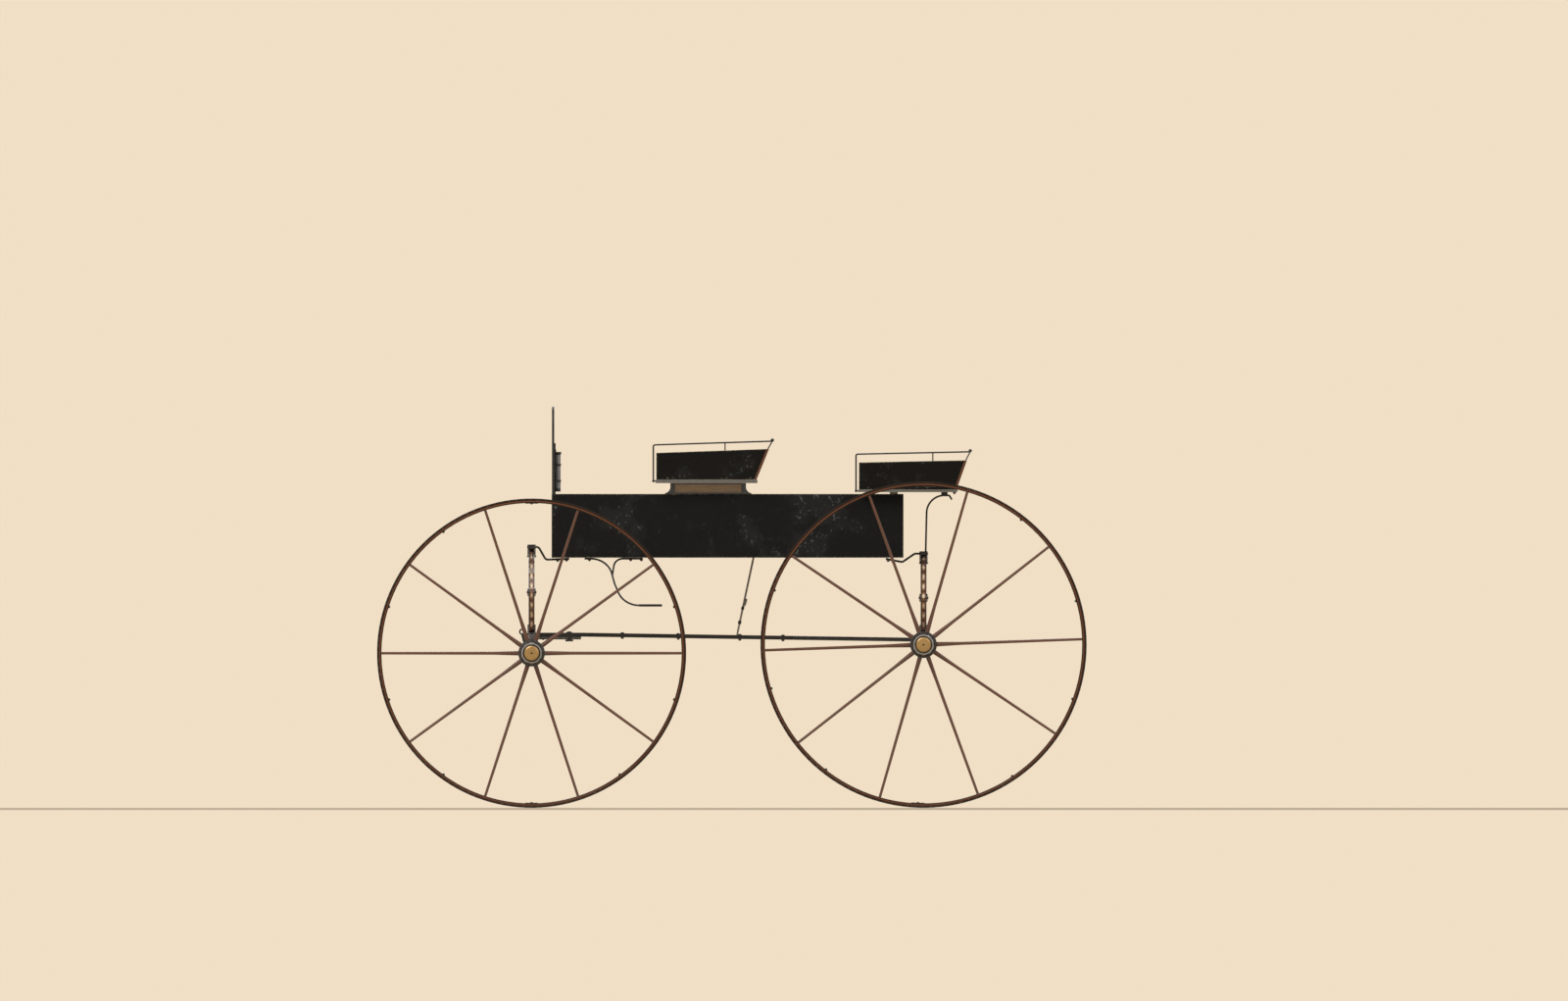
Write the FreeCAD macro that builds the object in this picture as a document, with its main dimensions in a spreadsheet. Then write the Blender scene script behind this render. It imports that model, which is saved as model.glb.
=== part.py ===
import FreeCAD, Part
import math
import os
import re

import Sketcher
from FreeCAD import Placement, Rotation, Vector

# A light open wagon with two seats for a pair of shafts or a pole, in millimetres.
# X runs along the vehicle with the front at -X, Y across it with the left side at -Y, Z up.
# The origin is on the ground under the middle of the whole vehicle.

SIZES = {
    # The stance
    "body_front": 74.9,
    "body_rear": 75,
    "track": 1422,
    # Wheels
    "rear_wheel_radius": 609.6,
    "front_wheel_step": 31.8,
    "tyre_width": 22,
    "tyre_thickness": 5,
    "felloe_depth": 12,
    "felloe_width": 20,
    "felloe_round": 4,
    "wheel_dish": 30,
    "spoke_count": 10,
    "front_spoke_turn": 0,
    "rear_spoke_turn": 2,
    "spoke_root_width": 17,
    "spoke_root_depth": 22,
    "spoke_shoulder": 4,
    "spoke_waist_reach": 90,
    "spoke_waist_width": 12,
    "spoke_waist_depth": 15,
    "spoke_tip_width": 10,
    "spoke_tip_depth": 11,
    "spoke_tip_gap": 0.36,
    "hub_core_radius": 40,
    "hub_flange_radius": 50,
    "hub_flange_thickness": 4,
    "hub_barrel_radius": 43,
    "hub_inner_reach": 60,
    "hub_inner_radius": 31,
    "hub_outer_reach": 110,
    "hub_nose_wall": 5.5,
    "hub_nose_length": 46,
    "hub_nose_chamfer": 2,
    "nut_recess_gap": 2.5,
    "nut_recess_depth": 16,
    # Axles
    "axle_bar": 28,
    "axle_arm_radius": 14,
    "axle_arm_fit": 0.05,
    "axle_collar_radius": 21,
    "axle_collar_length": 18,
    "axle_nut_radius": 29,
    "axle_nut_length": 20,
    "axle_nut_chamfer": 3,
    "hub_end_play": 0.5,
    # King bolt and fifth wheel
    "king_bolt_offset": 141,
    "king_bolt_radius": 8,
    "king_bolt_fit": 0.05,
    "king_bolt_head_radius": 13,
    "king_bolt_head_height": 5,
    "king_bolt_nut_radius": 14.6,
    "king_bolt_nut_height": 7,
    "king_bolt_play": 0.4,
    "fifth_wheel_plate": 5,
    "fifth_wheel_band": 24,
    "fifth_wheel_half_angle": 66,
    "fifth_wheel_gap": 0.3,
    "fifth_wheel_arm": 30,
    "fifth_wheel_tail": 44,
    # Beds, head block and perch
    "front_bed_height": 37.3,
    "front_bed_width": 30,
    "front_bed_length": 620,
    "front_bed_end_height": 16,
    "rear_bed_height": 31,
    "rear_bed_width": 34,
    "rear_bed_length": 720,
    "rear_bed_end_height": 14,
    "head_block_height": 16.2,
    "head_block_length": 320,
    "head_block_end_height": 9,
    "perch_width": 30,
    "perch_depth": 15,
    "perch_level_past": 5,
    "perch_rear_drop": 19,
    "perch_stay_radius": 6,
    "perch_stay_reach": 430,
    "perch_stay_toe": 60,
    "perch_stay_inset": 60,
    "perch_stay_heel": 24,
    "perch_stay_bend": 30,
    # Springs
    "leaf_width": 22,
    "leaf_thickness": 6,
    "front_spring_span": 890,
    "rear_spring_span": 900,
    "second_leaf_span": 690,
    "third_leaf_span": 490,
    "short_leaf_span": 290,
    "front_lower_camber": 129,
    "front_upper_camber": 143,
    "rear_lower_camber": 109,
    "rear_upper_camber": 139,
    "spring_eye_radius": 11,
    "spring_bolt_radius": 5,
    "spring_bolt_fit": 0.05,
    "spring_bolt_end": 3,
    "spring_fork_cheek": 4,
    "spring_fork_gap": 0.3,
    "clip_place": 34,
    "clip_length": 12,
    "clip_thickness": 4,
    "clip_gap": 0.2,
    "clip_slack": 1.2,
    "clip_leg": 8,
    # Shaft couplings
    "coupling_bed_gap": 10,
    "coupling_forward": 35.3,
    "coupling_rise": 80.2,
    "coupling_eye_radius": 12,
    "coupling_bore_radius": 6,
    "coupling_length": 40,
    "coupling_arm_radius": 7,
    "coupling_arm_bend": 30,
    "coupling_clip": 6,
    # Body
    "body_length": 1315,
    "body_width": 760,
    "body_depth": 238.5,
    "body_drop": 35.3,
    "side_thickness": 12,
    "end_thickness": 10,
    "floor_thickness": 16,
    "floor_board": 104,
    "board_groove": 2.5,
    "board_groove_depth": 2,
    "edge_round": 1.5,
    # Dash and whip socket
    "dash_rise": 327,
    "dash_inset": 6,
    "dash_frame": 9,
    "dash_frame_width": 12,
    "dash_leather": 4,
    "dash_corner": 70,
    "dash_iron_width": 26,
    "dash_iron_thickness": 5,
    "dash_iron_inset": 145,
    "dash_iron_rise": 190,
    "dash_iron_foot": 150,
    "whip_inset": 80,
    "whip_radius": 10.5,
    "whip_bore": 8.5,
    "whip_length": 148.7,
    "whip_rise": 8.5,
    "whip_floor": 8,
    "whip_gap": 0.3,
    "whip_mouth_radius": 13,
    "whip_mouth_height": 12,
    "whip_band_radius": 12.3,
    "whip_band_height": 8,
    "whip_low_band": 36,
    "whip_high_band": 96,
    "whip_lug": 10,
    # Front seat
    "riser_front_inset": 52.3,
    "riser_rear_inset": 39.7,
    "riser_height": 40.2,
    "riser_thickness": 20,
    "riser_panel_depth": 5,
    "riser_post": 17,
    "riser_rail": 5,
    "riser_foot_reach": 20,
    "riser_foot_lip": 3,
    "riser_foot_height": 24,
    "riser_foot_radius": 24,
    "front_seat_place": 391.2,
    "front_board_thickness": 13,
    "front_seat_depth": 375,
    "front_seat_rake": 47,
    "front_seat_height": 100,
    "front_seat_rear_height": 115,
    "front_rail_rise": 30,
    "front_rail_rear_rise": 29,
    "front_spindle_place": 268,
    # Rear seat
    "bearer_height": 6.5,
    "bearer_width": 30,
    "bearer_first": 30,
    "bearer_second": 115,
    "rear_seat_lap": 166.4,
    "rear_board_thickness": 10,
    "rear_seat_depth": 365,
    "rear_seat_rake": 39,
    "rear_seat_height": 101,
    "rear_seat_rear_height": 109,
    "rear_rail_rise": 31,
    "rear_rail_rear_rise": 32,
    "rear_spindle_place": 287,
    # Both seats
    "seat_width": 880,
    "seat_flare": 35,
    "seat_panel": 10,
    "seat_overlap": 3.3,
    "rail_radius": 3,
    "rail_bend": 7,
    "rail_forward": 11,
    "rail_back_reach": 12,
    "rail_foot_drop": 5,
    "rail_foot_inset": 8,
    "rail_foot_ball": 5,
    "rail_corner_ball": 6.5,
    "rail_corner_rise": 4,
    "spindle_radius": 2.4,
    "spindle_gap": 0.3,
    "back_spindle_spread": 235,
    "cushion_gap": 1,
    "cushion_height": 72,
    "cushion_front_gap": 12,
    "cushion_round": 24,
    # Body loops and rear seat irons
    "iron_gap": 0.2,
    "loop_radius": 4,
    "loop_spread": 210,
    "loop_bar": 10,
    "loop_bar_end": 20,
    "loop_bend": 14,
    "loop_reach": 66,
    "front_loop_shoulder": 26,
    "front_loop_heel": 53,
    "front_loop_dip": 3,
    "rear_loop_shoulder": 33,
    "rear_loop_heel": 79,
    "rear_loop_dip": 12,
    "seat_iron_radius": 3.5,
    "seat_iron_foot": 8,
    "seat_iron_elbow": 13,
    "seat_iron_bend": 66,
    "seat_iron_reach": 96,
    "seat_iron_claw": 106,
    "seat_iron_claw_drop": 16,
    "seat_iron_claw_bend": 6,
    "seat_iron_drop": 12,
    "seat_iron_tab": 24,
    # Steps
    "step_iron_radius": 3.5,
    "step_place": 326.9,
    "step_length": 86,
    "step_width": 62,
    "step_thickness": 9,
    "step_rim": 4,
    "step_well": 3,
    "step_corner": 10,
    "step_drop": 178,
    "step_outset": 12,
    "step_root_inset": 40,
    "step_front_reach": 204,
    "step_shoulder": 117,
    "step_shoulder_bend": 80,
    "step_knee": 92,
    "step_knee_drop": 92,
    "step_knee_bend": 60,
    "step_heel": 57,
    "step_heel_bend": 84,
    "step_branch_drop": 62,
    "step_branch_place": 90,
    "step_branch_bend": 34,
    "step_branch_reach": 14,
    # Check strap
    "strap_thickness": 7,
    "strap_width": 25,
    "strap_top_place": 829.5,
    "strap_foot_place": 768.5,
}

doc = FreeCAD.newDocument("wagon")
sheet = doc.addObject("Spreadsheet::Sheet", "Sizes")
for row, (alias, number) in enumerate(SIZES.items(), start=1):
    sheet.set("A%d" % row, alias)
    sheet.set("B%d" % row, str(number))
    sheet.setAlias("B%d" % row, alias)
doc.recompute()


def formula(text):
    """A formula in size names becomes one that reads the sheet."""
    return re.sub(r"[a-z_]{3,}", lambda word: "Sizes." + word.group() if word.group() in SIZES else word.group(), text)


def value(text):
    """The number that a formula in size names gives."""
    return float(sheet.evalExpression(formula(text)))


def point(x, y, z):
    return Vector(value(x), value(y), value(z))


def bind(thing, prop, text):
    """Tie a property to the sheet, unless it is a plain number such as 0."""
    if formula(text) != text:
        thing.setExpression(prop, formula(text))


# Heights and places that several pieces share, each as a formula in the sizes above.
FRONT_RADIUS = "(rear_wheel_radius - front_wheel_step)"
WHEEL_BASE = "(body_front + body_length + body_rear)"
FRONT_X = "(-front_wheel_step - %s) / 2" % WHEEL_BASE
REAR_X = "(%s - front_wheel_step) / 2" % WHEEL_BASE
KING_X = FRONT_X + " + king_bolt_offset"
BODY_X = FRONT_X + " + body_front"
FRONT_BED_Z = FRONT_RADIUS + " + axle_bar / 2"
LOWER_PLATE_Z = FRONT_BED_Z + " + front_bed_height"
UPPER_PLATE_Z = LOWER_PLATE_Z + " + fifth_wheel_plate + fifth_wheel_gap"
HEAD_BLOCK_Z = UPPER_PLATE_Z + " + fifth_wheel_plate"
FRONT_SPRING_Z = HEAD_BLOCK_Z + " + head_block_height"
FRONT_EYE_Z = FRONT_SPRING_Z + " + 3.5 * leaf_thickness + front_lower_camber"
FRONT_TOP_Z = FRONT_EYE_Z + " + 3.5 * leaf_thickness + front_upper_camber"
REAR_BED_Z = "rear_wheel_radius + axle_bar / 2"
REAR_SPRING_Z = REAR_BED_Z + " + rear_bed_height"
REAR_EYE_Z = REAR_SPRING_Z + " + 3.5 * leaf_thickness + rear_lower_camber"
REAR_TOP_Z = REAR_EYE_Z + " + 3.5 * leaf_thickness + rear_upper_camber"
BODY_Z = FRONT_TOP_Z + " - body_drop"
BODY_TOP_Z = BODY_Z + " + body_depth"
PERCH_END = "(%s - rear_bed_width / 2)" % WHEEL_BASE
PERCH_LEVEL = "(king_bolt_offset + fifth_wheel_tail + perch_level_past)"

nodes = {}


def keep(thing, label):
    thing.Label = label
    nodes[label] = thing
    return thing


def new_body(label, x, y, z):
    """A sub-part with its own placement, tied to the sheet."""
    body = doc.addObject("PartDesign::Body", label)
    body.AllowCompound = True
    for axis, text in zip("xyz", (x, y, z)):
        bind(body, "Placement.Base." + axis, text)
    return keep(body, label)


def origin_item(body, role):
    return [item for item in body.Origin.OriginFeatures if item.Role == role][0]


def new_sketch(body, plane, name, offset="0"):
    sketch = body.newObject("Sketcher::SketchObject", name)
    sketch.AttachmentSupport = [(origin_item(body, plane), "")]
    sketch.MapMode = "FlatFace"
    bind(sketch, "AttachmentOffset.Base.z", offset)
    return sketch


def dimension(sketch, text, *constraint):
    """A constraint whose value is a formula in the sizes."""
    index = sketch.addConstraint(Sketcher.Constraint(*constraint, value(text)))
    bind(sketch, "Constraints[%d]" % index, text)


def fix_point(sketch, edge, end, x, y):
    dimension(sketch, x, "DistanceX", -1, 1, edge, end)
    dimension(sketch, y, "DistanceY", -1, 1, edge, end)


def outline(sketch, corners):
    """A closed outline. Each corner is (x, y); a third entry is the radius of the arc that
    leaves it, and a fourth the way that the arc turns: 1 anticlockwise, -1 clockwise."""
    first = sketch.GeometryCount
    spots = [Vector(value(corner[0]), value(corner[1]), 0) for corner in corners]
    ends = []
    for number, corner in enumerate(corners):
        start, stop = spots[number], spots[(number + 1) % len(corners)]
        if len(corner) == 2:
            sketch.addGeometry(Part.LineSegment(start, stop))
            ends.append((1, 2))
            continue
        radius, way = value(corner[2]), corner[3]
        half = (stop - start) * 0.5
        rise = math.sqrt(max(radius ** 2 - half.Length ** 2, 0))
        centre = start + half + Vector(-half.y, half.x, 0).normalize() * rise * way
        near, far = (start, stop) if way > 0 else (stop, start)
        angles = [math.atan2(spot.y - centre.y, spot.x - centre.x) for spot in (near, far)]
        edge = sketch.addGeometry(Part.ArcOfCircle(Part.Circle(centre, Vector(0, 0, 1), radius), *angles))
        dimension(sketch, corner[2], "Radius", edge)
        ends.append((1, 2) if way > 0 else (2, 1))
    for number, corner in enumerate(corners):
        after = (number + 1) % len(corners)
        joined = (first + number, ends[number][1], first + after, ends[after][0])
        sketch.addConstraint(Sketcher.Constraint("Coincident", *joined))
        fix_point(sketch, first + number, ends[number][0], corner[0], corner[1])
    return sketch


def rectangle(sketch, x0, x1, y0, y1):
    return outline(sketch, [(x0, y0), (x1, y0), (x1, y1), (x0, y1)])


def circle(sketch, x, y, radius):
    edge = sketch.addGeometry(Part.Circle(Vector(value(x), value(y), 0), Vector(0, 0, 1), value(radius)))
    dimension(sketch, radius, "Radius", edge)
    fix_point(sketch, edge, 3, x, y)
    return sketch


def oval(sketch, x, width, height):
    """An ellipse with its centre at (x, 0) and one axis along x."""
    across, up = value(width) / 2, value(height) / 2
    centre = Vector(value(x), 0, 0)
    long_end, short_end = Vector(across, 0, 0), Vector(0, up, 0)
    if up > across:
        long_end, short_end = short_end, long_end
    edge = sketch.addGeometry(Part.Ellipse(centre + long_end, centre + short_end, centre))
    sketch.exposeInternalGeometry(edge)
    fix_point(sketch, edge, 3, x, "0")
    lines = (edge + 1, edge + 2) if across >= up else (edge + 2, edge + 1)
    dimension(sketch, width, "Distance", lines[0])
    dimension(sketch, height, "Distance", lines[1])
    sketch.addConstraint(Sketcher.Constraint("Horizontal", lines[0]))
    return sketch


def extrude(body, sketch, kind, length, both_ways):
    feature = body.newObject("PartDesign::" + kind, kind.lower())
    feature.Profile = sketch
    feature.SideType = "Symmetric" if both_ways else "One side"
    bind(feature, "Length", length)
    return feature


def pad(body, sketch, length, both_ways=True):
    return extrude(body, sketch, "Pad", length, both_ways)


def pocket(body, sketch, length, both_ways=True):
    return extrude(body, sketch, "Pocket", length, both_ways)


def turned(body, sketch):
    """A profile turned round the sketch's own upright axis."""
    feature = body.newObject("PartDesign::Revolution", "turned")
    feature.Profile = sketch
    feature.ReferenceAxis = (sketch, ["V_Axis"])
    feature.Angle = 360
    return feature


def mirrored(body, *features):
    """The same features again on the other side of the body's XZ plane."""
    feature = body.newObject("PartDesign::Mirrored", "mirrored")
    feature.Originals = list(features)
    feature.MirrorPlane = (origin_item(body, "XZ_Plane"), [""])
    body.Tip = feature
    return feature


def rounded(body, feature, radius, edges=None):
    """Round all of a feature's edges, or the ones that the test in edges picks."""
    doc.recompute()
    names = ["Edge%d" % number for number, edge in enumerate(feature.Shape.Edges, start=1) if not edges or edges(edge)]
    rounding = body.newObject("PartDesign::Fillet", "rounded")
    rounding.Base = (feature, names)
    bind(rounding, "Radius", radius)
    return rounding


def other_side(left, label):
    """The same piece on the right of the vehicle."""
    right = doc.addObject("Part::Mirroring", label)
    right.Source = left
    right.Normal = Vector(0, 1, 0)
    return keep(right, label)


def bent_rod(points, bends, radius):
    """A round bar along straight runs, with a tangent arc of its own radius at each corner."""
    edges = []
    start = points[0]
    for before, corner, after, bend in zip(points, points[1:], points[2:], bends):
        arriving, leaving = (before - corner).normalize(), (after - corner).normalize()
        half_inside = arriving.getAngle(leaving) / 2
        reach = bend / math.tan(half_inside)
        crown = corner + (arriving + leaving).normalize() * (bend / math.sin(half_inside) - bend)
        edges.append(Part.LineSegment(start, corner + arriving * reach).toShape())
        edges.append(Part.Arc(corner + arriving * reach, crown, corner + leaving * reach).toShape())
        start = corner + leaving * reach
    edges.append(Part.LineSegment(start, points[-1]).toShape())
    section = Part.Wire(Part.Circle(points[0], points[1] - points[0], radius).toShape())
    return Part.Wire(edges).makePipeShell([section], True, False)


def bar(start, stop, radius):
    return Part.makeCylinder(radius, (stop - start).Length, start, stop - start)


def both_sides(shapes):
    """The same shapes again at the right of the vehicle."""
    return shapes + [shape.mirror(Vector(0, 0, 0), Vector(0, 1, 0)) for shape in shapes]


def forged(label, shapes):
    """Bars and lugs forged in one, or left apart where they don't meet."""
    thing = doc.addObject("Part::Feature", label)
    thing.Shape = shapes[0].fuse(shapes[1:]).removeSplitter()
    thing.Placement = Placement()
    return keep(thing, label)


# Wheels: an iron tyre shrunk on a bent felloe, ten dished spokes, and a hub whose two iron
# flanges clamp the spoke roots. Each piece's origin is the wheel's centre in the tyre's plane.
def wheel(end, axle_x, radius, spoke_turn):
    side = "-track / 2"
    left, right = end + "_left_", end + "_right_"
    felloe_outer = radius + " - tyre_thickness"
    felloe_inner = felloe_outer + " - felloe_depth"

    tyre = new_body(left + "tyre", axle_x, side, radius)
    turned(tyre, rectangle(new_sketch(tyre, "XY_Plane", "tyre_section"),
        felloe_outer, radius, "-tyre_width / 2", "tyre_width / 2"))

    felloe = new_body(left + "felloe", axle_x, side, radius)
    turned(felloe, outline(new_sketch(felloe, "XY_Plane", "felloe_section"), [
        (felloe_outer, "-felloe_width / 2"),
        (felloe_outer, "felloe_width / 2"),
        (felloe_inner + " + felloe_round", "felloe_width / 2", "felloe_round", 1),
        (felloe_inner, "felloe_width / 2 - felloe_round"),
        (felloe_inner, "felloe_round - felloe_width / 2", "felloe_round", 1),
        (felloe_inner + " + felloe_round", "-felloe_width / 2"),
    ]))

    spokes = new_body(left + "spokes", axle_x, side, radius)
    spokes.Placement.Rotation = Rotation(Vector(0, -1, 0), 0)
    spokes.setExpression("Placement.Rotation.Angle", formula(spoke_turn))
    waist = "hub_flange_radius + spoke_waist_reach"
    lean = "wheel_dish * (%s - (%s)) / (%s - hub_flange_radius)"
    stations = [
        ("root", "hub_core_radius", "wheel_dish", "spoke_root_depth", "spoke_root_width"),
        ("shoulder", "hub_flange_radius + spoke_shoulder", "wheel_dish", "spoke_root_depth", "spoke_root_width"),
        ("waist", waist, lean % (felloe_inner, waist, felloe_inner), "spoke_waist_depth", "spoke_waist_width"),
        ("tip", felloe_inner + " - spoke_tip_gap", "0", "spoke_tip_depth", "spoke_tip_width"),
    ]
    sections = [oval(new_sketch(spokes, "YZ_Plane", name, reach), centre, depth, width)
                for name, reach, centre, depth, width in stations]
    spoke = spokes.newObject("PartDesign::AdditiveLoft", "spoke")
    spoke.Profile = sections[0]
    spoke.Sections = sections[1:]
    spoke.Ruled = True
    ring = spokes.newObject("PartDesign::PolarPattern", "ring_of_spokes")
    ring.Originals = [spoke]
    ring.Axis = (origin_item(spokes, "Y_Axis"), [""])
    ring.Angle = 360
    bind(ring, "Occurrences", "spoke_count")
    spokes.Tip = ring

    hub = new_body(left + "hub", axle_x, side, radius)
    bore = "axle_arm_radius + axle_arm_fit"
    inner = "wheel_dish + hub_inner_reach"
    outer = "wheel_dish - hub_outer_reach"
    near_clamp = "wheel_dish + spoke_root_depth / 2"
    far_clamp = "wheel_dish - spoke_root_depth / 2"
    recess = "axle_nut_radius + nut_recess_gap"
    nose = recess + " + hub_nose_wall"
    turned(hub, outline(new_sketch(hub, "XY_Plane", "hub_section"), [
        (bore, inner),
        (bore, outer + " + nut_recess_depth"),
        (recess, outer + " + nut_recess_depth"),
        (recess, outer),
        (nose + " - hub_nose_chamfer", outer),
        (nose, outer + " + hub_nose_chamfer"),
        (nose, outer + " + hub_nose_length"),
        ("hub_barrel_radius", far_clamp + " - hub_flange_thickness"),
        ("hub_flange_radius", far_clamp + " - hub_flange_thickness"),
        ("hub_flange_radius", far_clamp),
        ("hub_core_radius", far_clamp),
        ("hub_core_radius", near_clamp),
        ("hub_flange_radius", near_clamp),
        ("hub_flange_radius", near_clamp + " + hub_flange_thickness"),
        ("hub_barrel_radius", near_clamp + " + hub_flange_thickness"),
        ("hub_inner_radius", inner),
    ]))
    for piece in ("tyre", "felloe", "spokes", "hub"):
        other_side(nodes[left + piece], right + piece)


wheel("front", FRONT_X, FRONT_RADIUS, "front_spoke_turn")
wheel("rear", REAR_X, "rear_wheel_radius", "rear_spoke_turn")


# Axles: a square bar with a collar and a round arm at each end, and a cap nut on each arm.
def axle(label, x, z):
    collar_face = "track / 2 - wheel_dish - hub_inner_reach - hub_end_play"
    collar_back = collar_face + " - axle_collar_length"
    nut_face = "track / 2 - wheel_dish + hub_outer_reach - nut_recess_depth + hub_end_play"
    nut_end = nut_face + " + axle_nut_length"

    body = new_body(label, x, "0", z)
    half = "axle_bar / 2"
    square = rectangle(new_sketch(body, "XZ_Plane", "bar_section"), "-" + half, half, "-" + half, half)
    pad(body, square, "2 * (%s)" % collar_back)
    arm = turned(body, outline(new_sketch(body, "XY_Plane", "arm_section"), [
        ("0", "-(%s)" % collar_back),
        ("axle_collar_radius", "-(%s)" % collar_back),
        ("axle_collar_radius", "-(%s)" % collar_face),
        ("axle_arm_radius", "-(%s)" % collar_face),
        ("axle_arm_radius", "-(%s)" % nut_face),
        ("0", "-(%s)" % nut_face),
    ]))
    mirrored(body, arm)

    nuts = new_body(label + "_nuts", x, "0", z)
    nut = turned(nuts, outline(new_sketch(nuts, "XY_Plane", "nut_section"), [
        ("0", "-(%s)" % nut_face),
        ("axle_nut_radius", "-(%s)" % nut_face),
        ("axle_nut_radius", "-(%s - axle_nut_chamfer)" % nut_end),
        ("axle_nut_radius - 2 * axle_nut_chamfer", "-(%s)" % nut_end),
        ("0", "-(%s)" % nut_end),
    ]))
    mirrored(nuts, nut)


axle("front_axle", FRONT_X, FRONT_RADIUS)
axle("rear_axle", REAR_X, "rear_wheel_radius")


# Beds and head block: wooden bars, full under the spring and shaved towards their ends.
def shaved_bar(label, x, z, width, length, height, end_height, level):
    body = new_body(label, x, "0", z)
    shape = outline(new_sketch(body, "YZ_Plane", "outline"), [
        ("-%s / 2" % length, "0"),
        ("%s / 2" % length, "0"),
        ("%s / 2" % length, end_height),
        (level + " / 2", height),
        ("-%s / 2" % level, height),
        ("-%s / 2" % length, end_height),
    ])
    pad(body, shape, width)


shaved_bar("front_axle_bed", FRONT_X, FRONT_BED_Z, "front_bed_width",
    "front_bed_length", "front_bed_height", "front_bed_end_height", "head_block_length")
shaved_bar("rear_axle_bed", REAR_X, REAR_BED_Z, "rear_bed_width",
    "rear_bed_length", "rear_bed_height", "rear_bed_end_height", "head_block_length")
shaved_bar("head_block", FRONT_X, HEAD_BLOCK_Z, "leaf_width",
    "head_block_length", "head_block_height", "head_block_end_height", "short_leaf_span")


# Fifth wheel: two arc plates centred on the king bolt, joined to it by an arm that runs on
# behind it. The lower one turns with the front axle under the upper one.
def fifth_wheel(label, z):
    body = new_body(label, KING_X, "0", z)
    inside = "(king_bolt_offset - fifth_wheel_band / 2)"
    outside = "(king_bolt_offset + fifth_wheel_band / 2)"
    back, side = "-%s * cos(fifth_wheel_half_angle)", "%s * sin(fifth_wheel_half_angle)"
    pad(body, outline(new_sketch(body, "XY_Plane", "band"), [
        (back % outside, side % outside, outside, 1),
        (back % outside, "-" + side % outside),
        (back % inside, "-" + side % inside, inside, -1),
        (back % inside, side % inside),
    ]), "fifth_wheel_plate", False)
    half = "fifth_wheel_arm / 2"
    pad(body, outline(new_sketch(body, "XY_Plane", "arm"), [
        ("-king_bolt_offset", "-" + half),
        ("fifth_wheel_tail - " + half, "-" + half, half, 1),
        ("fifth_wheel_tail", "0", half, 1),
        ("fifth_wheel_tail - " + half, half),
        ("-king_bolt_offset", half),
    ]), "fifth_wheel_plate", False)
    hole = circle(new_sketch(body, "XY_Plane", "bolt_hole"), "0", "0", "king_bolt_radius + king_bolt_fit")
    pocket(body, hole, "4 * fifth_wheel_plate")


fifth_wheel("fifth_wheel_upper", UPPER_PLATE_Z)
fifth_wheel("fifth_wheel_lower", LOWER_PLATE_Z)

# Perch: the one long beam from the head block to the rear bed, level over the fifth wheel.
perch = new_body("perch", FRONT_X, "0", HEAD_BLOCK_Z)
pad(perch, outline(new_sketch(perch, "XZ_Plane", "perch_side"), [
    ("leaf_width / 2", "0"),
    (PERCH_LEVEL, "0"),
    (PERCH_END, "-perch_rear_drop"),
    (PERCH_END, "perch_depth - perch_rear_drop"),
    (PERCH_LEVEL, "perch_depth"),
    ("leaf_width / 2", "perch_depth"),
]), "perch_width")
hole = circle(new_sketch(perch, "XY_Plane", "bolt_hole"), "king_bolt_offset", "0", "king_bolt_radius + king_bolt_fit")
pocket(perch, hole, "4 * perch_depth")

# King bolt: it hangs from the perch, and its nut runs just under the lower plate.
king_bolt = new_body("king_bolt", KING_X, "0", HEAD_BLOCK_Z + " + perch_depth")
bolt_foot = "-(perch_depth + 2 * fifth_wheel_plate + fifth_wheel_gap + king_bolt_play)"
turned(king_bolt, outline(new_sketch(king_bolt, "XZ_Plane", "bolt_section"), [
    ("0", "king_bolt_head_height"),
    ("0", bolt_foot + " - king_bolt_nut_height"),
    ("king_bolt_nut_radius", bolt_foot + " - king_bolt_nut_height"),
    ("king_bolt_nut_radius", bolt_foot),
    ("king_bolt_radius", bolt_foot),
    ("king_bolt_radius", "0"),
    ("king_bolt_head_radius", "0"),
    ("king_bolt_head_radius / 2", "king_bolt_head_height"),
]))


def perch_drop(place):
    """How far the perch has dropped at a place behind the front axle."""
    return "perch_rear_drop * (%s - %s) / (%s - %s)" % (place, PERCH_LEVEL, PERCH_END, PERCH_LEVEL)


# Perch stays: two round irons that spread from the perch to the front of the rear bed.
stay_beside = "-perch_width / 2 - perch_stay_radius"
stay_drop = perch_drop("(%s - perch_stay_reach)" % WHEEL_BASE)
stay_front = point(REAR_X + " - perch_stay_reach", stay_beside, "%s + perch_depth / 2 - %s" % (HEAD_BLOCK_Z, stay_drop))
stay_rear = point(REAR_X + " - rear_bed_width / 2 - perch_stay_radius", "perch_stay_inset - rear_bed_length / 2",
    REAR_BED_Z + " + perch_stay_radius")
forged("perch_stays", both_sides([bent_rod(
    [stay_front - point("perch_stay_toe", "0", "0"), stay_front, stay_rear, stay_rear - point("0", "perch_stay_heel", "0")],
    [value("perch_stay_bend"), value("perch_stay_bend")], value("perch_stay_radius"))]))


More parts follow.
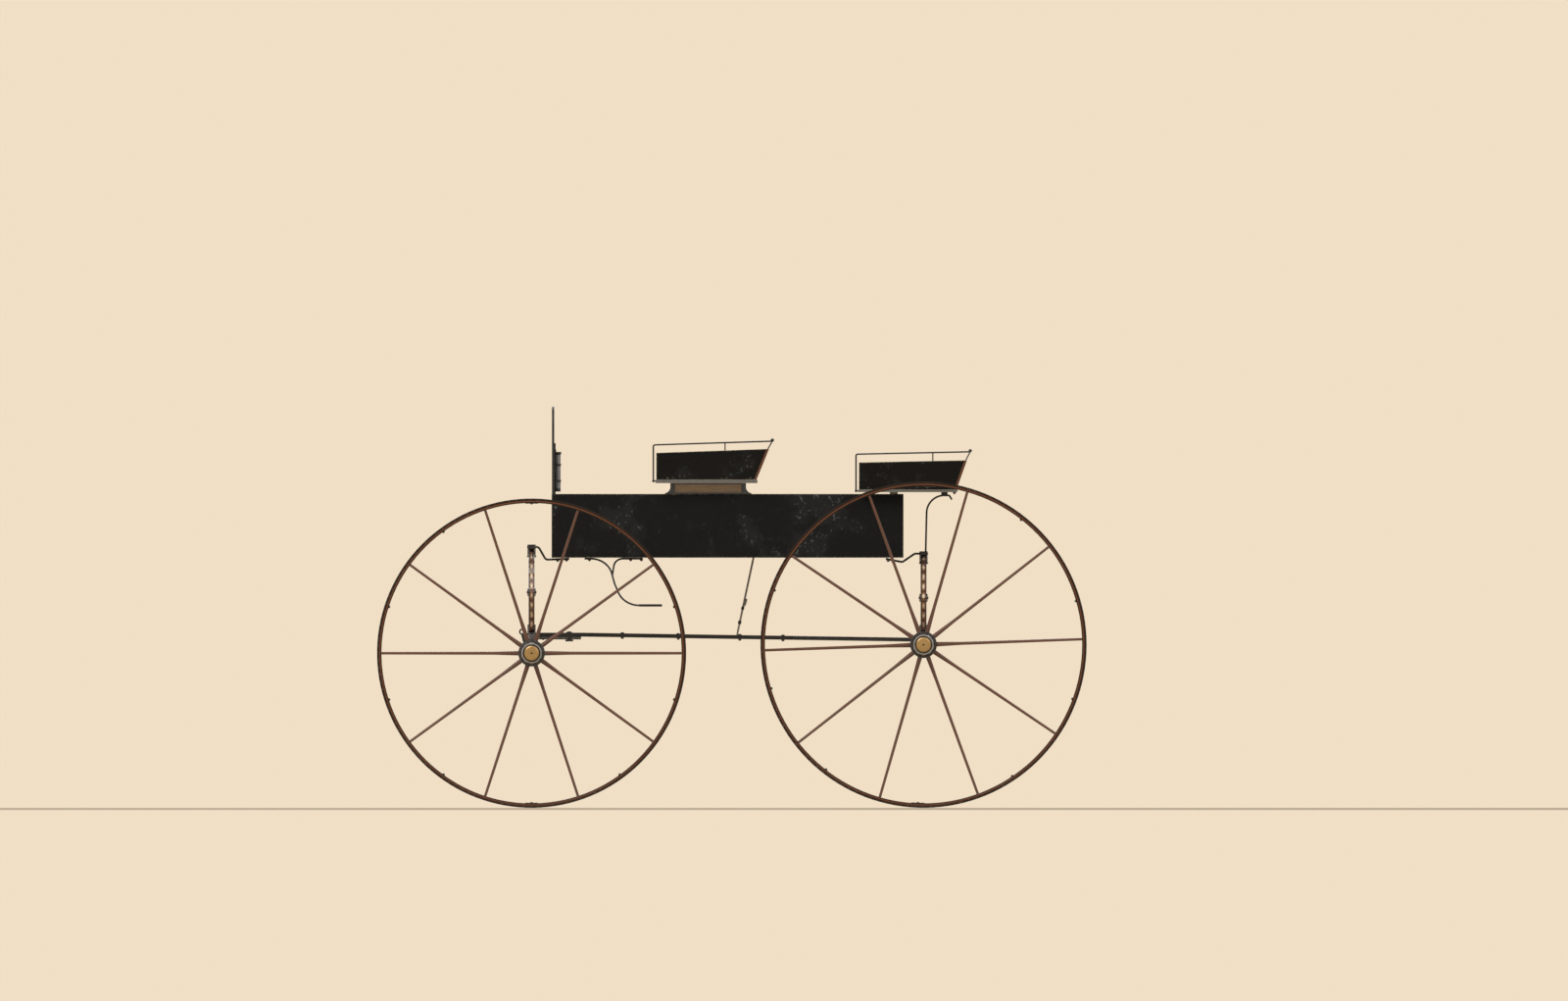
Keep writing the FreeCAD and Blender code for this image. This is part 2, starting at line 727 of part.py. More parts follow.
# Springs: two halves of a full ellipse across the vehicle, each of four leaves cut from one
# stepped outline. The upper half ends in forks with their bolts, the lower half in eyes.
def spring_half(label, x, eye_z, span, camber, down):
    body = new_body(label, x, "0", eye_z)
    bend = "(((%s / 2) ^ 2 + %s ^ 2) / (2 * %s))" % (span, camber, camber)
    reaches = ["%s / 2" % text for text in (span, "second_leaf_span", "third_leaf_span", "short_leaf_span")]

    def leaf_radius(face):
        return "(%s + (%s - 0.5) * leaf_thickness)" % (bend, face)

    def on_leaf(face, reach, side):
        """A point on face 0, which looks at the eyes, or on the outer face of leaf 1 to 4."""
        height = "%d * (%s - %s - sqrt(%s ^ 2 - (%s) ^ 2))" % (down, bend, camber, leaf_radius(face), reach)
        return "%d * (%s)" % (side, reach), height

    corners = [on_leaf(0, reaches[0], -1) + (leaf_radius(0), down), on_leaf(0, reaches[0], 1)]
    for face in (1, 2, 3):
        corners.append(on_leaf(face, reaches[face - 1], 1) + (leaf_radius(face), -down))
        corners.append(on_leaf(face, reaches[face], 1))
    corners.append(on_leaf(4, reaches[3], 1) + (leaf_radius(4), -down))
    corners.append(on_leaf(4, reaches[3], -1))
    for face in (3, 2, 1):
        corners.append(on_leaf(face, reaches[face], -1) + (leaf_radius(face), -down))
        corners.append(on_leaf(face, reaches[face - 1], -1))
    pad(body, outline(new_sketch(body, "YZ_Plane", "leaves"), corners), "leaf_width")
    return body


def spring(end, x, eye_z, span, lower_camber, upper_camber):
    eye = span + " / 2"
    lower = spring_half(end + "_spring_lower", x, eye_z, span, lower_camber, 1)
    knuckle = pad(lower, circle(new_sketch(lower, "YZ_Plane", "eye"), eye, "0", "spring_eye_radius"), "leaf_width")
    mirrored(lower, knuckle)
    bore = circle(new_sketch(lower, "YZ_Plane", "eye_bore"), eye, "0", "spring_bolt_radius + spring_bolt_fit")
    mirrored(lower, pocket(lower, bore, "2 * leaf_width"))

    upper = spring_half(end + "_spring_upper", x, eye_z, span, upper_camber, -1)
    slot_width = "leaf_width + 2 * spring_fork_gap"
    fork_width = slot_width + " + 2 * spring_fork_cheek"
    fork = circle(new_sketch(upper, "YZ_Plane", "fork"), eye, "0", "spring_eye_radius + spring_fork_cheek")
    mirrored(upper, pad(upper, fork, fork_width))
    round_slot = circle(new_sketch(upper, "YZ_Plane", "round_slot"), eye, "0", "spring_eye_radius + spring_fork_gap")
    mirrored(upper, pocket(upper, round_slot, slot_width))
    open_slot = rectangle(new_sketch(upper, "YZ_Plane", "open_slot"), eye + " - 3 * spring_eye_radius",
        eye + " + 3 * spring_eye_radius", "-3 * spring_eye_radius", "0")
    mirrored(upper, pocket(upper, open_slot, slot_width))
    bolt = circle(new_sketch(upper, "YZ_Plane", "bolt"), eye, "0", "spring_bolt_radius")
    mirrored(upper, pad(upper, bolt, fork_width + " + 2 * spring_bolt_end"))


spring("front", FRONT_X, FRONT_EYE_Z, "front_spring_span", "front_lower_camber", "front_upper_camber")
spring("rear", REAR_X, REAR_EYE_Z, "rear_spring_span", "rear_lower_camber", "rear_upper_camber")


# Spring clips: a saddle over the lower leaves and a band round the upper leaves and the bar on
# them, at each side of the spring's middle.
def spring_clips(label, x, spring_z, top_z, leg):
    body = new_body(label, x, "0", spring_z)
    inner = "(leaf_width / 2 + clip_gap)"
    outer = "(leaf_width / 2 + clip_gap + clip_thickness)"
    pack = "4 * leaf_thickness + clip_slack"
    saddle = outline(new_sketch(body, "XZ_Plane", "saddle", "clip_place"), [
        ("-" + outer, "-" + leg),
        ("-" + inner, "-" + leg),
        ("-" + inner, pack),
        (inner, pack),
        (inner, "-" + leg),
        (outer, "-" + leg),
        (outer, pack + " + clip_thickness"),
        ("-" + outer, pack + " + clip_thickness"),
    ])
    band = new_sketch(body, "XZ_Plane", "band", "clip_place")
    top = "%s - (%s)" % (top_z, spring_z)
    foot = "%s - (%s)" % (top, pack)
    rectangle(band, "-" + outer, outer, foot + " - clip_thickness", top + " + loop_bar + clip_thickness")
    rectangle(band, "-" + inner, inner, foot, top + " + loop_bar")
    mirrored(body, pad(body, saddle, "clip_length"), pad(body, band, "clip_length"))


spring_clips("front_spring_clips", FRONT_X, FRONT_SPRING_Z, FRONT_TOP_Z, "clip_leg")
spring_clips("rear_spring_clips", REAR_X, REAR_SPRING_Z, REAR_TOP_Z, "0")

# Shaft couplings: an eye on an arm that rises in front of a clip round the axle bar.
axle_centre = point(FRONT_X, "-(front_bed_length / 2 + coupling_bed_gap + coupling_length / 2)", FRONT_RADIUS)
eye_centre = axle_centre + point("-coupling_forward", "0", "coupling_rise")
across = point("0", "coupling_length / 2", "0")
clip_half = point("axle_bar / 2 + coupling_clip", "coupling_length / 2", "axle_bar / 2 + coupling_clip")
bar_half = point("axle_bar / 2", "coupling_length", "axle_bar / 2")
clip = Part.makeBox(2 * clip_half.x, 2 * clip_half.y, 2 * clip_half.z, axle_centre - clip_half)
bar_room = Part.makeBox(2 * bar_half.x, 2 * bar_half.y, 2 * bar_half.z, axle_centre - bar_half)
arm_foot = axle_centre + point("-axle_bar / 2 - coupling_arm_radius", "0", "-axle_bar / 2")
arm_bend = Vector(arm_foot.x, arm_foot.y, axle_centre.z + value("coupling_rise / 3"))
arm = bent_rod([arm_foot, arm_bend, eye_centre], [value("coupling_arm_bend")], value("coupling_arm_radius"))
barrel = bar(eye_centre - across, eye_centre + across, value("coupling_eye_radius"))
eye_bore = bar(eye_centre - across * 2, eye_centre + across * 2, value("coupling_bore_radius"))
forged("shaft_couplings", both_sides([clip.cut(bar_room).fuse([arm.cut(bar_room), barrel]).cut(eye_bore)]))

# Box body: side panels, front and tail panels between them, and a floor of grooved boards.
for side, way in (("left", "-"), ("right", "")):
    panel = new_body("side_panel_" + side, BODY_X, way + "(body_width - side_thickness) / 2", BODY_Z)
    board = rectangle(new_sketch(panel, "XZ_Plane", "outline"), "0", "body_length", "0", "body_depth")
    rounded(panel, pad(panel, board, "side_thickness"), "edge_round")

inner_half = "(body_width / 2 - side_thickness)"
for label, x in (("front_panel", BODY_X), ("tail_panel", BODY_X + " + body_length - end_thickness")):
    panel = new_body(label, x, "0", BODY_Z + " + floor_thickness")
    board = rectangle(new_sketch(panel, "YZ_Plane", "outline"), "-" + inner_half, inner_half, "0", "body_depth - floor_thickness")
    pad(panel, board, "end_thickness", False)

floor = new_body("floor_boards", BODY_X, "0", BODY_Z)
pad(floor, rectangle(new_sketch(floor, "XY_Plane", "outline"), "0", "body_length", "-" + inner_half, inner_half),
    "floor_thickness", False)
joint = rectangle(new_sketch(floor, "XY_Plane", "board_joint", "floor_thickness"), "end_thickness", "body_length - end_thickness",
    "-3 * floor_board - board_groove / 2", "board_groove / 2 - 3 * floor_board")
groove = pocket(floor, joint, "board_groove_depth", False)
grooves = floor.newObject("PartDesign::LinearPattern", "board_joints")
grooves.Originals = [groove]
grooves.Direction = (origin_item(floor, "Y_Axis"), [""])
bind(grooves, "Length", "6 * floor_board")
grooves.Occurrences = 7
floor.Tip = grooves

# Dash: thin leather in a round-cornered iron frame that stands on the front panel.
DASH_X = BODY_X + " + end_thickness - dash_frame"
dash = new_body("dash", DASH_X, "0", BODY_TOP_Z)


def dash_outline(sketch, inset):
    half = "(body_width / 2 - dash_inset - %s)" % inset
    top = "(dash_rise - %s)" % inset
    corner = "(dash_corner - %s)" % inset
    return outline(sketch, [
        ("-" + half, inset),
        (half, inset),
        (half, "%s - %s" % (top, corner), corner, 1),
        ("%s - %s" % (half, corner), top),
        ("%s - %s" % (corner, half), top, corner, 1),
        ("-" + half, "%s - %s" % (top, corner)),
    ])


frame = new_sketch(dash, "YZ_Plane", "frame")
dash_outline(frame, "0")
dash_outline(frame, "dash_frame_width")
pad(dash, frame, "dash_frame", False)
leather = dash_outline(new_sketch(dash, "YZ_Plane", "leather", "(dash_frame - dash_leather) / 2"), "(dash_frame_width / 2)")
pad(dash, leather, "dash_leather", False)

# Dash irons: two flat straps behind the dash that are bolted down the inside of the front panel.
dash_irons = new_body("dash_irons", BODY_X + " + end_thickness", "0", BODY_TOP_Z)
iron_y = "(dash_iron_inset - body_width / 2)"
strap = rectangle(new_sketch(dash_irons, "YZ_Plane", "iron"), iron_y + " - dash_iron_width / 2",
    iron_y + " + dash_iron_width / 2", "-dash_iron_foot", "dash_iron_rise")
mirrored(dash_irons, pad(dash_irons, strap, "dash_iron_thickness", False))

# Whip socket: a tube with a flared mouth, a foot and two bands, each with a lug on the dash leather.
whip_x = "(whip_mouth_radius + whip_gap)"
socket = new_body("whip_socket", "%s + end_thickness + %s" % (BODY_X, whip_x), "body_width / 2 - whip_inset",
    BODY_TOP_Z + " + whip_rise")
mouth = "whip_length - whip_mouth_height"
turned(socket, outline(new_sketch(socket, "XZ_Plane", "section"), [
    ("0", "0"),
    ("whip_radius", "0"),
    ("whip_radius", "whip_low_band"),
    ("whip_band_radius", "whip_low_band"),
    ("whip_band_radius", "whip_low_band + whip_band_height"),
    ("whip_radius", "whip_low_band + whip_band_height"),
    ("whip_radius", "whip_high_band"),
    ("whip_band_radius", "whip_high_band"),
    ("whip_band_radius", "whip_high_band + whip_band_height"),
    ("whip_radius", "whip_high_band + whip_band_height"),
    ("whip_radius", mouth),
    ("whip_mouth_radius", mouth + " + whip_mouth_height / 2"),
    ("whip_mouth_radius", "whip_length"),
    ("whip_bore", "whip_length"),
    ("whip_bore", "whip_floor"),
    ("0", "whip_floor"),
]))
leather_face = "-%s - (dash_frame - dash_leather) / 2" % whip_x
for name, band in (("low_lug", "whip_low_band"), ("high_lug", "whip_high_band")):
    lug = rectangle(new_sketch(socket, "XY_Plane", name, band), leather_face, "-(whip_radius + whip_bore) / 2",
        "-whip_lug / 2", "whip_lug / 2")
    pad(socket, lug, "whip_band_height", False)

# Risers: they lift the front seat off the body. Each side is one board with a sunk panel
# between its two posts, whose feet sweep out in a hollow curve.
risers = new_body("front_seat_risers", BODY_X + " + front_seat_place + riser_front_inset", "0", BODY_TOP_Z)
riser_length = "(front_seat_depth - riser_front_inset - riser_rear_inset)"
riser_middle = "(body_width - side_thickness) / 2"
riser_end = riser_length + " + riser_foot_reach"
riser_board = pad(risers, outline(new_sketch(risers, "XZ_Plane", "riser_side", riser_middle), [
    ("-riser_foot_reach", "0"),
    (riser_end, "0"),
    (riser_end, "riser_foot_lip", "riser_foot_radius", -1),
    (riser_length, "riser_foot_height"),
    (riser_length, "riser_height"),
    ("0", "riser_height"),
    ("0", "riser_foot_height", "riser_foot_radius", -1),
    ("-riser_foot_reach", "riser_foot_lip"),
]), "riser_thickness")
sunk_panel = new_sketch(risers, "XZ_Plane", "sunk_panel", riser_middle + " + riser_thickness / 2")
rectangle(sunk_panel, "riser_post", riser_length + " - riser_post", "riser_rail", "riser_height - riser_rail")
mirrored(risers, riser_board, pocket(risers, sunk_panel, "riser_panel_depth", False))

# Seats: a board, a shell of two flared sides and a raked back, a cushion and a round rail.
SEAT_TOP_WIDTH = "(seat_width + 2 * seat_flare)"


def seat_board(label, x, z, depth, thickness):
    body = new_body(label, x + " - seat_overlap", "0", z)
    half = "(seat_width / 2 + seat_overlap)"
    board = rectangle(new_sketch(body, "XY_Plane", "outline"), "0", depth + " + 2 * seat_overlap", "-" + half, half)
    pad(body, board, thickness, False)


def seat_shell(label, x, z, depth, top_depth, height, rear_height):
    body = new_body(label, x, "0", z)

    def level(name, lift, reach, width, inset, front):
        half = "(%s / 2 - %s)" % (width, inset)
        return rectangle(new_sketch(body, "XY_Plane", name, lift), front, "%s - %s" % (reach, inset), "-" + half, half)

    for kind, name, inset, front in (("Additive", "outside", "0", "0"), ("Subtractive", "inside", "seat_panel", "-seat_panel")):
        loft = body.newObject("PartDesign::%sLoft" % kind, name)
        loft.Profile = level(name + "_foot", "0", depth, "seat_width", inset, front)
        loft.Sections = [level(name + "_top", rear_height, top_depth, SEAT_TOP_WIDTH, inset, front)]
    over_top = rear_height + " + seat_panel"
    pocket(body, outline(new_sketch(body, "XZ_Plane", "top_slope"), [
        ("-seat_panel", height),
        ("0", height),
        (top_depth, rear_height),
        (top_depth, over_top),
        ("-seat_panel", over_top),
    ]), "2 * " + SEAT_TOP_WIDTH)


def seat_cushion(label, x, z, depth):
    body = new_body(label, x, "0", z)
    half = "(seat_width / 2 - seat_panel - cushion_gap)"
    block = pad(body, rectangle(new_sketch(body, "XY_Plane", "outline"),
        "cushion_front_gap", depth + " - seat_panel - cushion_gap", "-" + half, half), "cushion_height", False)
    top = value("cushion_height")
    rounded(body, block, "cushion_round", lambda edge: all(abs(end.Point.z - top) < 0.01 for end in edge.Vertexes))


def spindle(foot, head):
    """A thin upright that ends in a level face just over the panel it stands on."""
    room = 4 * (head - foot).Length
    return bar(foot * 2 - head, head, value("spindle_radius")).cut(
        Part.makeBox(room, room, room, foot - Vector(room / 2, room / 2, room)))


def seat_rail(label, x, z, top_depth, height, rear_height, rise, rear_rise, spindle_place):
    """A round rail: up from a ball on the seat's front edge, along each side and across the back."""
    front = "%s - rail_forward" % x
    side = "-(%s - seat_panel) / 2" % SEAT_TOP_WIDTH
    foot = point(front, "rail_foot_inset - seat_width / 2", z + " - rail_foot_drop")
    knee = point(front, side, "%s + %s + %s" % (z, height, rise))
    corner = point("%s + %s + rail_back_reach" % (x, top_depth), side, "%s + %s + %s" % (z, rear_height, rear_rise))
    radius = value("rail_radius")
    bends = [value("rail_bend"), value("rail_bend")]
    run = "(%s - rail_forward)" % spindle_place
    panel_top = "%s + %s + (%s - %s) * (%s + spindle_radius) / %s" % (z, height, rear_height, height, run, top_depth)
    side_foot = point("%s + %s" % (x, run), side, panel_top + " + spindle_gap")
    side_head = knee + (corner - knee) * ((side_foot.x - knee.x) / (corner.x - knee.x))
    pieces = [
        bent_rod([foot, knee, corner, Vector(corner.x, 0, corner.z)], bends, radius),
        Part.makeSphere(value("rail_foot_ball"), foot),
        bar(foot, foot + point("rail_forward - seat_overlap", "0", "0"), radius),
        Part.makeSphere(value("rail_corner_ball"), corner + point("0", "0", "rail_corner_rise")),
        spindle(side_foot, side_head),
    ]
    back_foot = "%s + %s - seat_panel / 2" % (x, top_depth)
    back_level = "%s + %s + spindle_gap" % (z, rear_height)
    for place in ("0", "-back_spindle_spread"):
        across = value(place)
        pieces.append(spindle(point(back_foot, place, back_level), Vector(corner.x, across, corner.z)))
    forged(label, both_sides(pieces))


FRONT_SEAT_X = BODY_X + " + front_seat_place"
FRONT_BOARD_Z = BODY_TOP_Z + " + riser_height"
FRONT_SEAT_Z = FRONT_BOARD_Z + " + front_board_thickness"
FRONT_TOP_DEPTH = "(front_seat_depth + front_seat_rake)"
seat_board("front_seat_board", FRONT_SEAT_X, FRONT_BOARD_Z, "front_seat_depth", "front_board_thickness")
seat_shell("front_seat_panels", FRONT_SEAT_X, FRONT_SEAT_Z, "front_seat_depth", FRONT_TOP_DEPTH,
    "front_seat_height", "front_seat_rear_height")
seat_cushion("front_seat_cushion", FRONT_SEAT_X, FRONT_SEAT_Z, "front_seat_depth")
seat_rail("front_seat_rail", FRONT_SEAT_X, FRONT_SEAT_Z, FRONT_TOP_DEPTH, "front_seat_height",
    "front_seat_rear_height", "front_rail_rise", "front_rail_rear_rise", "front_spindle_place")

REAR_SEAT_X = BODY_X + " + body_length - rear_seat_lap"
REAR_BOARD_Z = BODY_TOP_Z + " + bearer_height"
REAR_SEAT_Z = REAR_BOARD_Z + " + rear_board_thickness"
REAR_TOP_DEPTH = "(rear_seat_depth + rear_seat_rake)"
seat_board("rear_seat_board", REAR_SEAT_X, REAR_BOARD_Z, "rear_seat_depth", "rear_board_thickness")
seat_shell("rear_seat_panels", REAR_SEAT_X, REAR_SEAT_Z, "rear_seat_depth", REAR_TOP_DEPTH,
    "rear_seat_height", "rear_seat_rear_height")
seat_cushion("rear_seat_cushion", REAR_SEAT_X, REAR_SEAT_Z, "rear_seat_depth")
seat_rail("rear_seat_rail", REAR_SEAT_X, REAR_SEAT_Z, REAR_TOP_DEPTH, "rear_seat_height",
    "rear_seat_rear_height", "rear_rail_rise", "rear_rail_rear_rise", "rear_spindle_place")

# Rear seat bearers: two cross pieces between the body's top edges and the seat board.
bearers = new_body("rear_seat_bearers", REAR_SEAT_X, "0", BODY_TOP_Z)
for name, start in (("first", "bearer_first"), ("second", "bearer_second")):
    bearer = new_sketch(bearers, "XY_Plane", name + "_bearer")
    rectangle(bearer, start, start + " + bearer_width", "-body_width / 2", "body_width / 2")
    pad(bearers, bearer, "bearer_height", False)

# Where round irons lie along the underside of the floor.
UNDER_FLOOR_Z = BODY_Z + " - %s - iron_gap"


# Body loops: a bar on top of each spring, and a pair of irons that drop from it and run
# under the floor. The body lies behind the front spring and in front of the rear one.
def body_loops(label, x, z, body_edge, way, shoulder, heel, dip):
    middle = z + " + loop_bar / 2"
    under = UNDER_FLOOR_Z % "loop_radius"
    iron = bent_rod([
        point(x, "-loop_spread", middle),
        point("%s + %d * %s" % (x, way, shoulder), "-loop_spread", middle),
        point("%s + %d * %s" % (x, way, heel), "-loop_spread", "%s - %s" % (under, dip)),
        point("%s + %d * loop_reach" % (body_edge, way), "-loop_spread", under),
    ], [value("loop_bend"), value("loop_bend")], value("loop_radius"))
    half = "(loop_spread + loop_bar_end)"
    flat = Part.makeBox(value("leaf_width"), value("2 * " + half), value("loop_bar"),
        point(x + " - leaf_width / 2", "-" + half, z))
    forged(label, both_sides([iron]) + [flat])


body_loops("front_body_loops", FRONT_X, FRONT_TOP_Z, BODY_X, 1,
    "front_loop_shoulder", "front_loop_heel", "front_loop_dip")
body_loops("rear_body_loops", REAR_X, REAR_TOP_Z, BODY_X + " + body_length", -1,
    "rear_loop_shoulder", "rear_loop_heel", "rear_loop_dip")

# Rear seat irons: a pair that rise from the rear spring's bar, curl under the overhanging
# seat and end in a claw, each with a tab that meets the seat board.
iron_top = REAR_BOARD_Z + " - seat_iron_drop"
tab_end = REAR_X + " + seat_iron_reach"
iron = bent_rod([
    point(REAR_X + " + seat_iron_foot", "-loop_spread", REAR_TOP_Z + " + loop_bar + iron_gap"),
    point(REAR_X + " + seat_iron_elbow", "-loop_spread", iron_top),
    point(tab_end, "-loop_spread", iron_top),
    point(REAR_X + " + seat_iron_claw", "-loop_spread", iron_top + " - seat_iron_claw_drop"),
], [value("seat_iron_bend"), value("seat_iron_claw_bend")], value("seat_iron_radius"))
tab = Part.makeBox(value("seat_iron_tab"), value("2 * seat_iron_radius"), value("seat_iron_drop"),
    point(tab_end + " - seat_iron_claw_bend - seat_iron_tab", "-loop_spread - seat_iron_radius", iron_top))
forged("rear_seat_irons", both_sides([iron.fuse(tab)]))

# Steps: a hollowed tread outside the body on a forked iron that is bolted under the floor.
STEP_X = BODY_X + " + step_place"
STEP_Z = BODY_Z + " - step_drop"
under = UNDER_FLOOR_Z % "step_iron_radius"
tread_y = "-(body_width / 2 + step_outset + step_width / 2)"
root_y = "-(body_width / 2 - step_root_inset)"


def upright(shape):
    """The edges of a box that stand along Z."""
    return [edge for edge in shape.Edges if abs(edge.tangentAt(edge.FirstParameter).z) > 0.99]


tread = Part.makeBox(value("step_length"), value("step_width"), value("step_thickness"),
    point(STEP_X, tread_y + " - step_width / 2", STEP_Z + " - step_thickness / 2"))
well = Part.makeBox(value("step_length - 2 * step_rim"), value("step_width - 2 * step_rim"), value("step_thickness"),
    point(STEP_X + " + step_rim", tread_y + " - step_width / 2 + step_rim", STEP_Z + " + step_thickness / 2 - step_well"))
tread = tread.makeFillet(value("step_corner"), upright(tread))
well = well.makeFillet(value("step_corner - step_rim"), upright(well))
shoulder = point(STEP_X + " - step_shoulder", root_y, under)
knee = point(STEP_X + " - step_knee", "(%s + %s) / 2" % (root_y, tread_y), under + " - step_knee_drop")
stem = bent_rod([
    point(STEP_X + " - step_front_reach", root_y, under),
    shoulder,
    knee,
    point(STEP_X + " - step_heel", tread_y, STEP_Z),
    point(STEP_X + " + step_length / 2", tread_y, STEP_Z),
], [value("step_shoulder_bend"), value("step_knee_bend"), value("step_heel_bend")], value("step_iron_radius"))
branch = bent_rod([
    shoulder + (knee - shoulder) * value("step_branch_drop / step_knee_drop"),
    point(STEP_X + " - step_branch_place", root_y, under),
    point(STEP_X + " + step_branch_reach", root_y, under),
], [value("step_branch_bend")], value("step_iron_radius"))
forged("step_left", [tread.cut(well).fuse(stem.cut(well)), branch])
other_side(nodes["step_left"], "step_right")

# Check strap: a doubled strap from the floor to the perch that limits the body's rise.
strap = new_body("check_strap", FRONT_X, "0", BODY_Z)
foot_front = "strap_foot_place - strap_thickness / 2"
foot_rear = "strap_foot_place + strap_thickness / 2"
perch_top = "%s + perch_depth - %s - (%s)"
pad(strap, outline(new_sketch(strap, "XZ_Plane", "strap_side"), [
    (foot_front, perch_top % (HEAD_BLOCK_Z, perch_drop("(%s)" % foot_front), BODY_Z)),
    (foot_rear, perch_top % (HEAD_BLOCK_Z, perch_drop("(%s)" % foot_rear), BODY_Z)),
    ("strap_top_place + strap_thickness / 2", "0"),
    ("strap_top_place - strap_thickness / 2", "0"),
]), "strap_width")

doc.recompute()
failed = [thing.Name for thing in doc.Objects if {"Invalid", "Error"} & set(thing.State)]
for label, thing in nodes.items():
    if thing.Shape.isNull() or not thing.Shape.isValid() or not thing.Shape.Solids:
        failed.append(label)
if failed:
    raise RuntimeError("these did not build: " + ", ".join(sorted(set(failed))))

os.makedirs("parts", exist_ok=True)
for label, thing in nodes.items():
    thing.Shape.exportStep("parts/%s.step" % label)
print(len(nodes), "pieces written")
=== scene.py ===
import math

import bmesh
import bpy
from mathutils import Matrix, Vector
from mathutils.bvhtree import BVHTree


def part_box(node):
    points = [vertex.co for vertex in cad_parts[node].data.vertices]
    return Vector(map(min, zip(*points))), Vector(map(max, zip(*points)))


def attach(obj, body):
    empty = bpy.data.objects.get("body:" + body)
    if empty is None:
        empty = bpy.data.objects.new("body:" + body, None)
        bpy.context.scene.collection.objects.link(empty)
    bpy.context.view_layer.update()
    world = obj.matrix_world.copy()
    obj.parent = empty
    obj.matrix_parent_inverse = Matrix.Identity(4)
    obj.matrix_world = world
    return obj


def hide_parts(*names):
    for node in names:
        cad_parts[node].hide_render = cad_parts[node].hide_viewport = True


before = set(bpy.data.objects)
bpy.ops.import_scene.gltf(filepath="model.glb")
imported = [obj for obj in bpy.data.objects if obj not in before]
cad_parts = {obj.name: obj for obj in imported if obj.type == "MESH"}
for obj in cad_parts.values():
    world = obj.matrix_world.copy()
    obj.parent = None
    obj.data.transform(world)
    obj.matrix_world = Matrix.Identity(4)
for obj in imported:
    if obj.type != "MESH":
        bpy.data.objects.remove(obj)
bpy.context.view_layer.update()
scene = bpy.context.scene


# Wheel rims and spokes
# Each tyre is an iron hoop shrunk on a bent ash felloe, and the felloe and the ten spokes are
# painted brown. Small nuts inside the felloe hold the tyre bolts, and an iron clip closes its joint.
def node(tree, kind, inputs=None, **settings):
    """One node of a tree. An input given as a socket is linked, and any other is set."""
    made = tree.nodes.new(kind)
    for name, setting in settings.items():
        setattr(made, name, setting)
    for name, given in (inputs or {}).items():
        if isinstance(given, bpy.types.NodeSocket):
            tree.links.new(given, made.inputs[name])
        else:
            made.inputs[name].default_value = given
    return made


def maths(tree, operation, first, second=0.0, clamp=False):
    sockets = {0: first, 1: second}
    return node(tree, "ShaderNodeMath", sockets, operation=operation, use_clamp=clamp).outputs[0]


def plus(tree, first, second, clamp=False):
    return maths(tree, "ADD", first, second, clamp)


def minus(tree, first, second):
    return maths(tree, "SUBTRACT", first, second)


def times(tree, first, second, clamp=False):
    return maths(tree, "MULTIPLY", first, second, clamp)


def over(tree, first, second):
    return maths(tree, "DIVIDE", first, second)


def unsigned(tree, value):
    return maths(tree, "ABSOLUTE", value)


def vectors(tree, operation, first, second=(0, 0, 0)):
    """Two places or directions put together."""
    return node(tree, "ShaderNodeVectorMath", {0: first, 1: second}, operation=operation)


def place_on(tree):
    """Where a point of a surface is, in the vehicle's own frame."""
    return node(tree, "ShaderNodeTexCoord").outputs["Object"]


def normal_on(tree):
    return node(tree, "ShaderNodeNewGeometry").outputs["Normal"]


def one_axis(tree, vector, axis):
    """One of the three numbers of a place or a direction."""
    return node(tree, "ShaderNodeSeparateXYZ", {"Vector": vector}).outputs[axis]


def spread(tree, value, low, high, to_low=0.0, to_high=1.0):
    """The value's range from low to high, brought to another range and held inside it."""
    sockets = {"Value": value, "From Min": low, "From Max": high, "To Min": to_low, "To Max": to_high}
    return node(tree, "ShaderNodeMapRange", sockets, interpolation_type="SMOOTHSTEP").outputs["Result"]


def mixed(tree, factor, first, second):
    """Two colours mixed by a mask."""
    return node(tree, "ShaderNodeMix", {0: factor, 6: first, 7: second}, data_type="RGBA").outputs[2]


def noise(tree, place, scale, detail=4.0, roughness=0.6):
    sockets = {"Vector": place, "Scale": scale, "Detail": detail, "Roughness": roughness}
    return node(tree, "ShaderNodeTexNoise", sockets).outputs["Fac"]


def new_group(name, inputs, outputs):
    """A shader node group with named inputs (name, kind, value) and outputs (name, kind)."""
    group = bpy.data.node_groups.new(name, "ShaderNodeTree")
    for label, kind, start in inputs:
        socket = group.interface.new_socket(label, in_out="INPUT", socket_type="NodeSocket" + kind)
        socket.default_value = start
    for label, kind in outputs:
        group.interface.new_socket(label, in_out="OUTPUT", socket_type="NodeSocket" + kind)
    return group, group.nodes.new("NodeGroupInput"), group.nodes.new("NodeGroupOutput")


def placed(tree, group, **inputs):
    """A group set into a material with that material's own values."""
    made = node(tree, "ShaderNodeGroup", node_tree=group)
    for name, given in inputs.items():
        made.inputs[name.replace("_", " ").title()].default_value = given
    return made


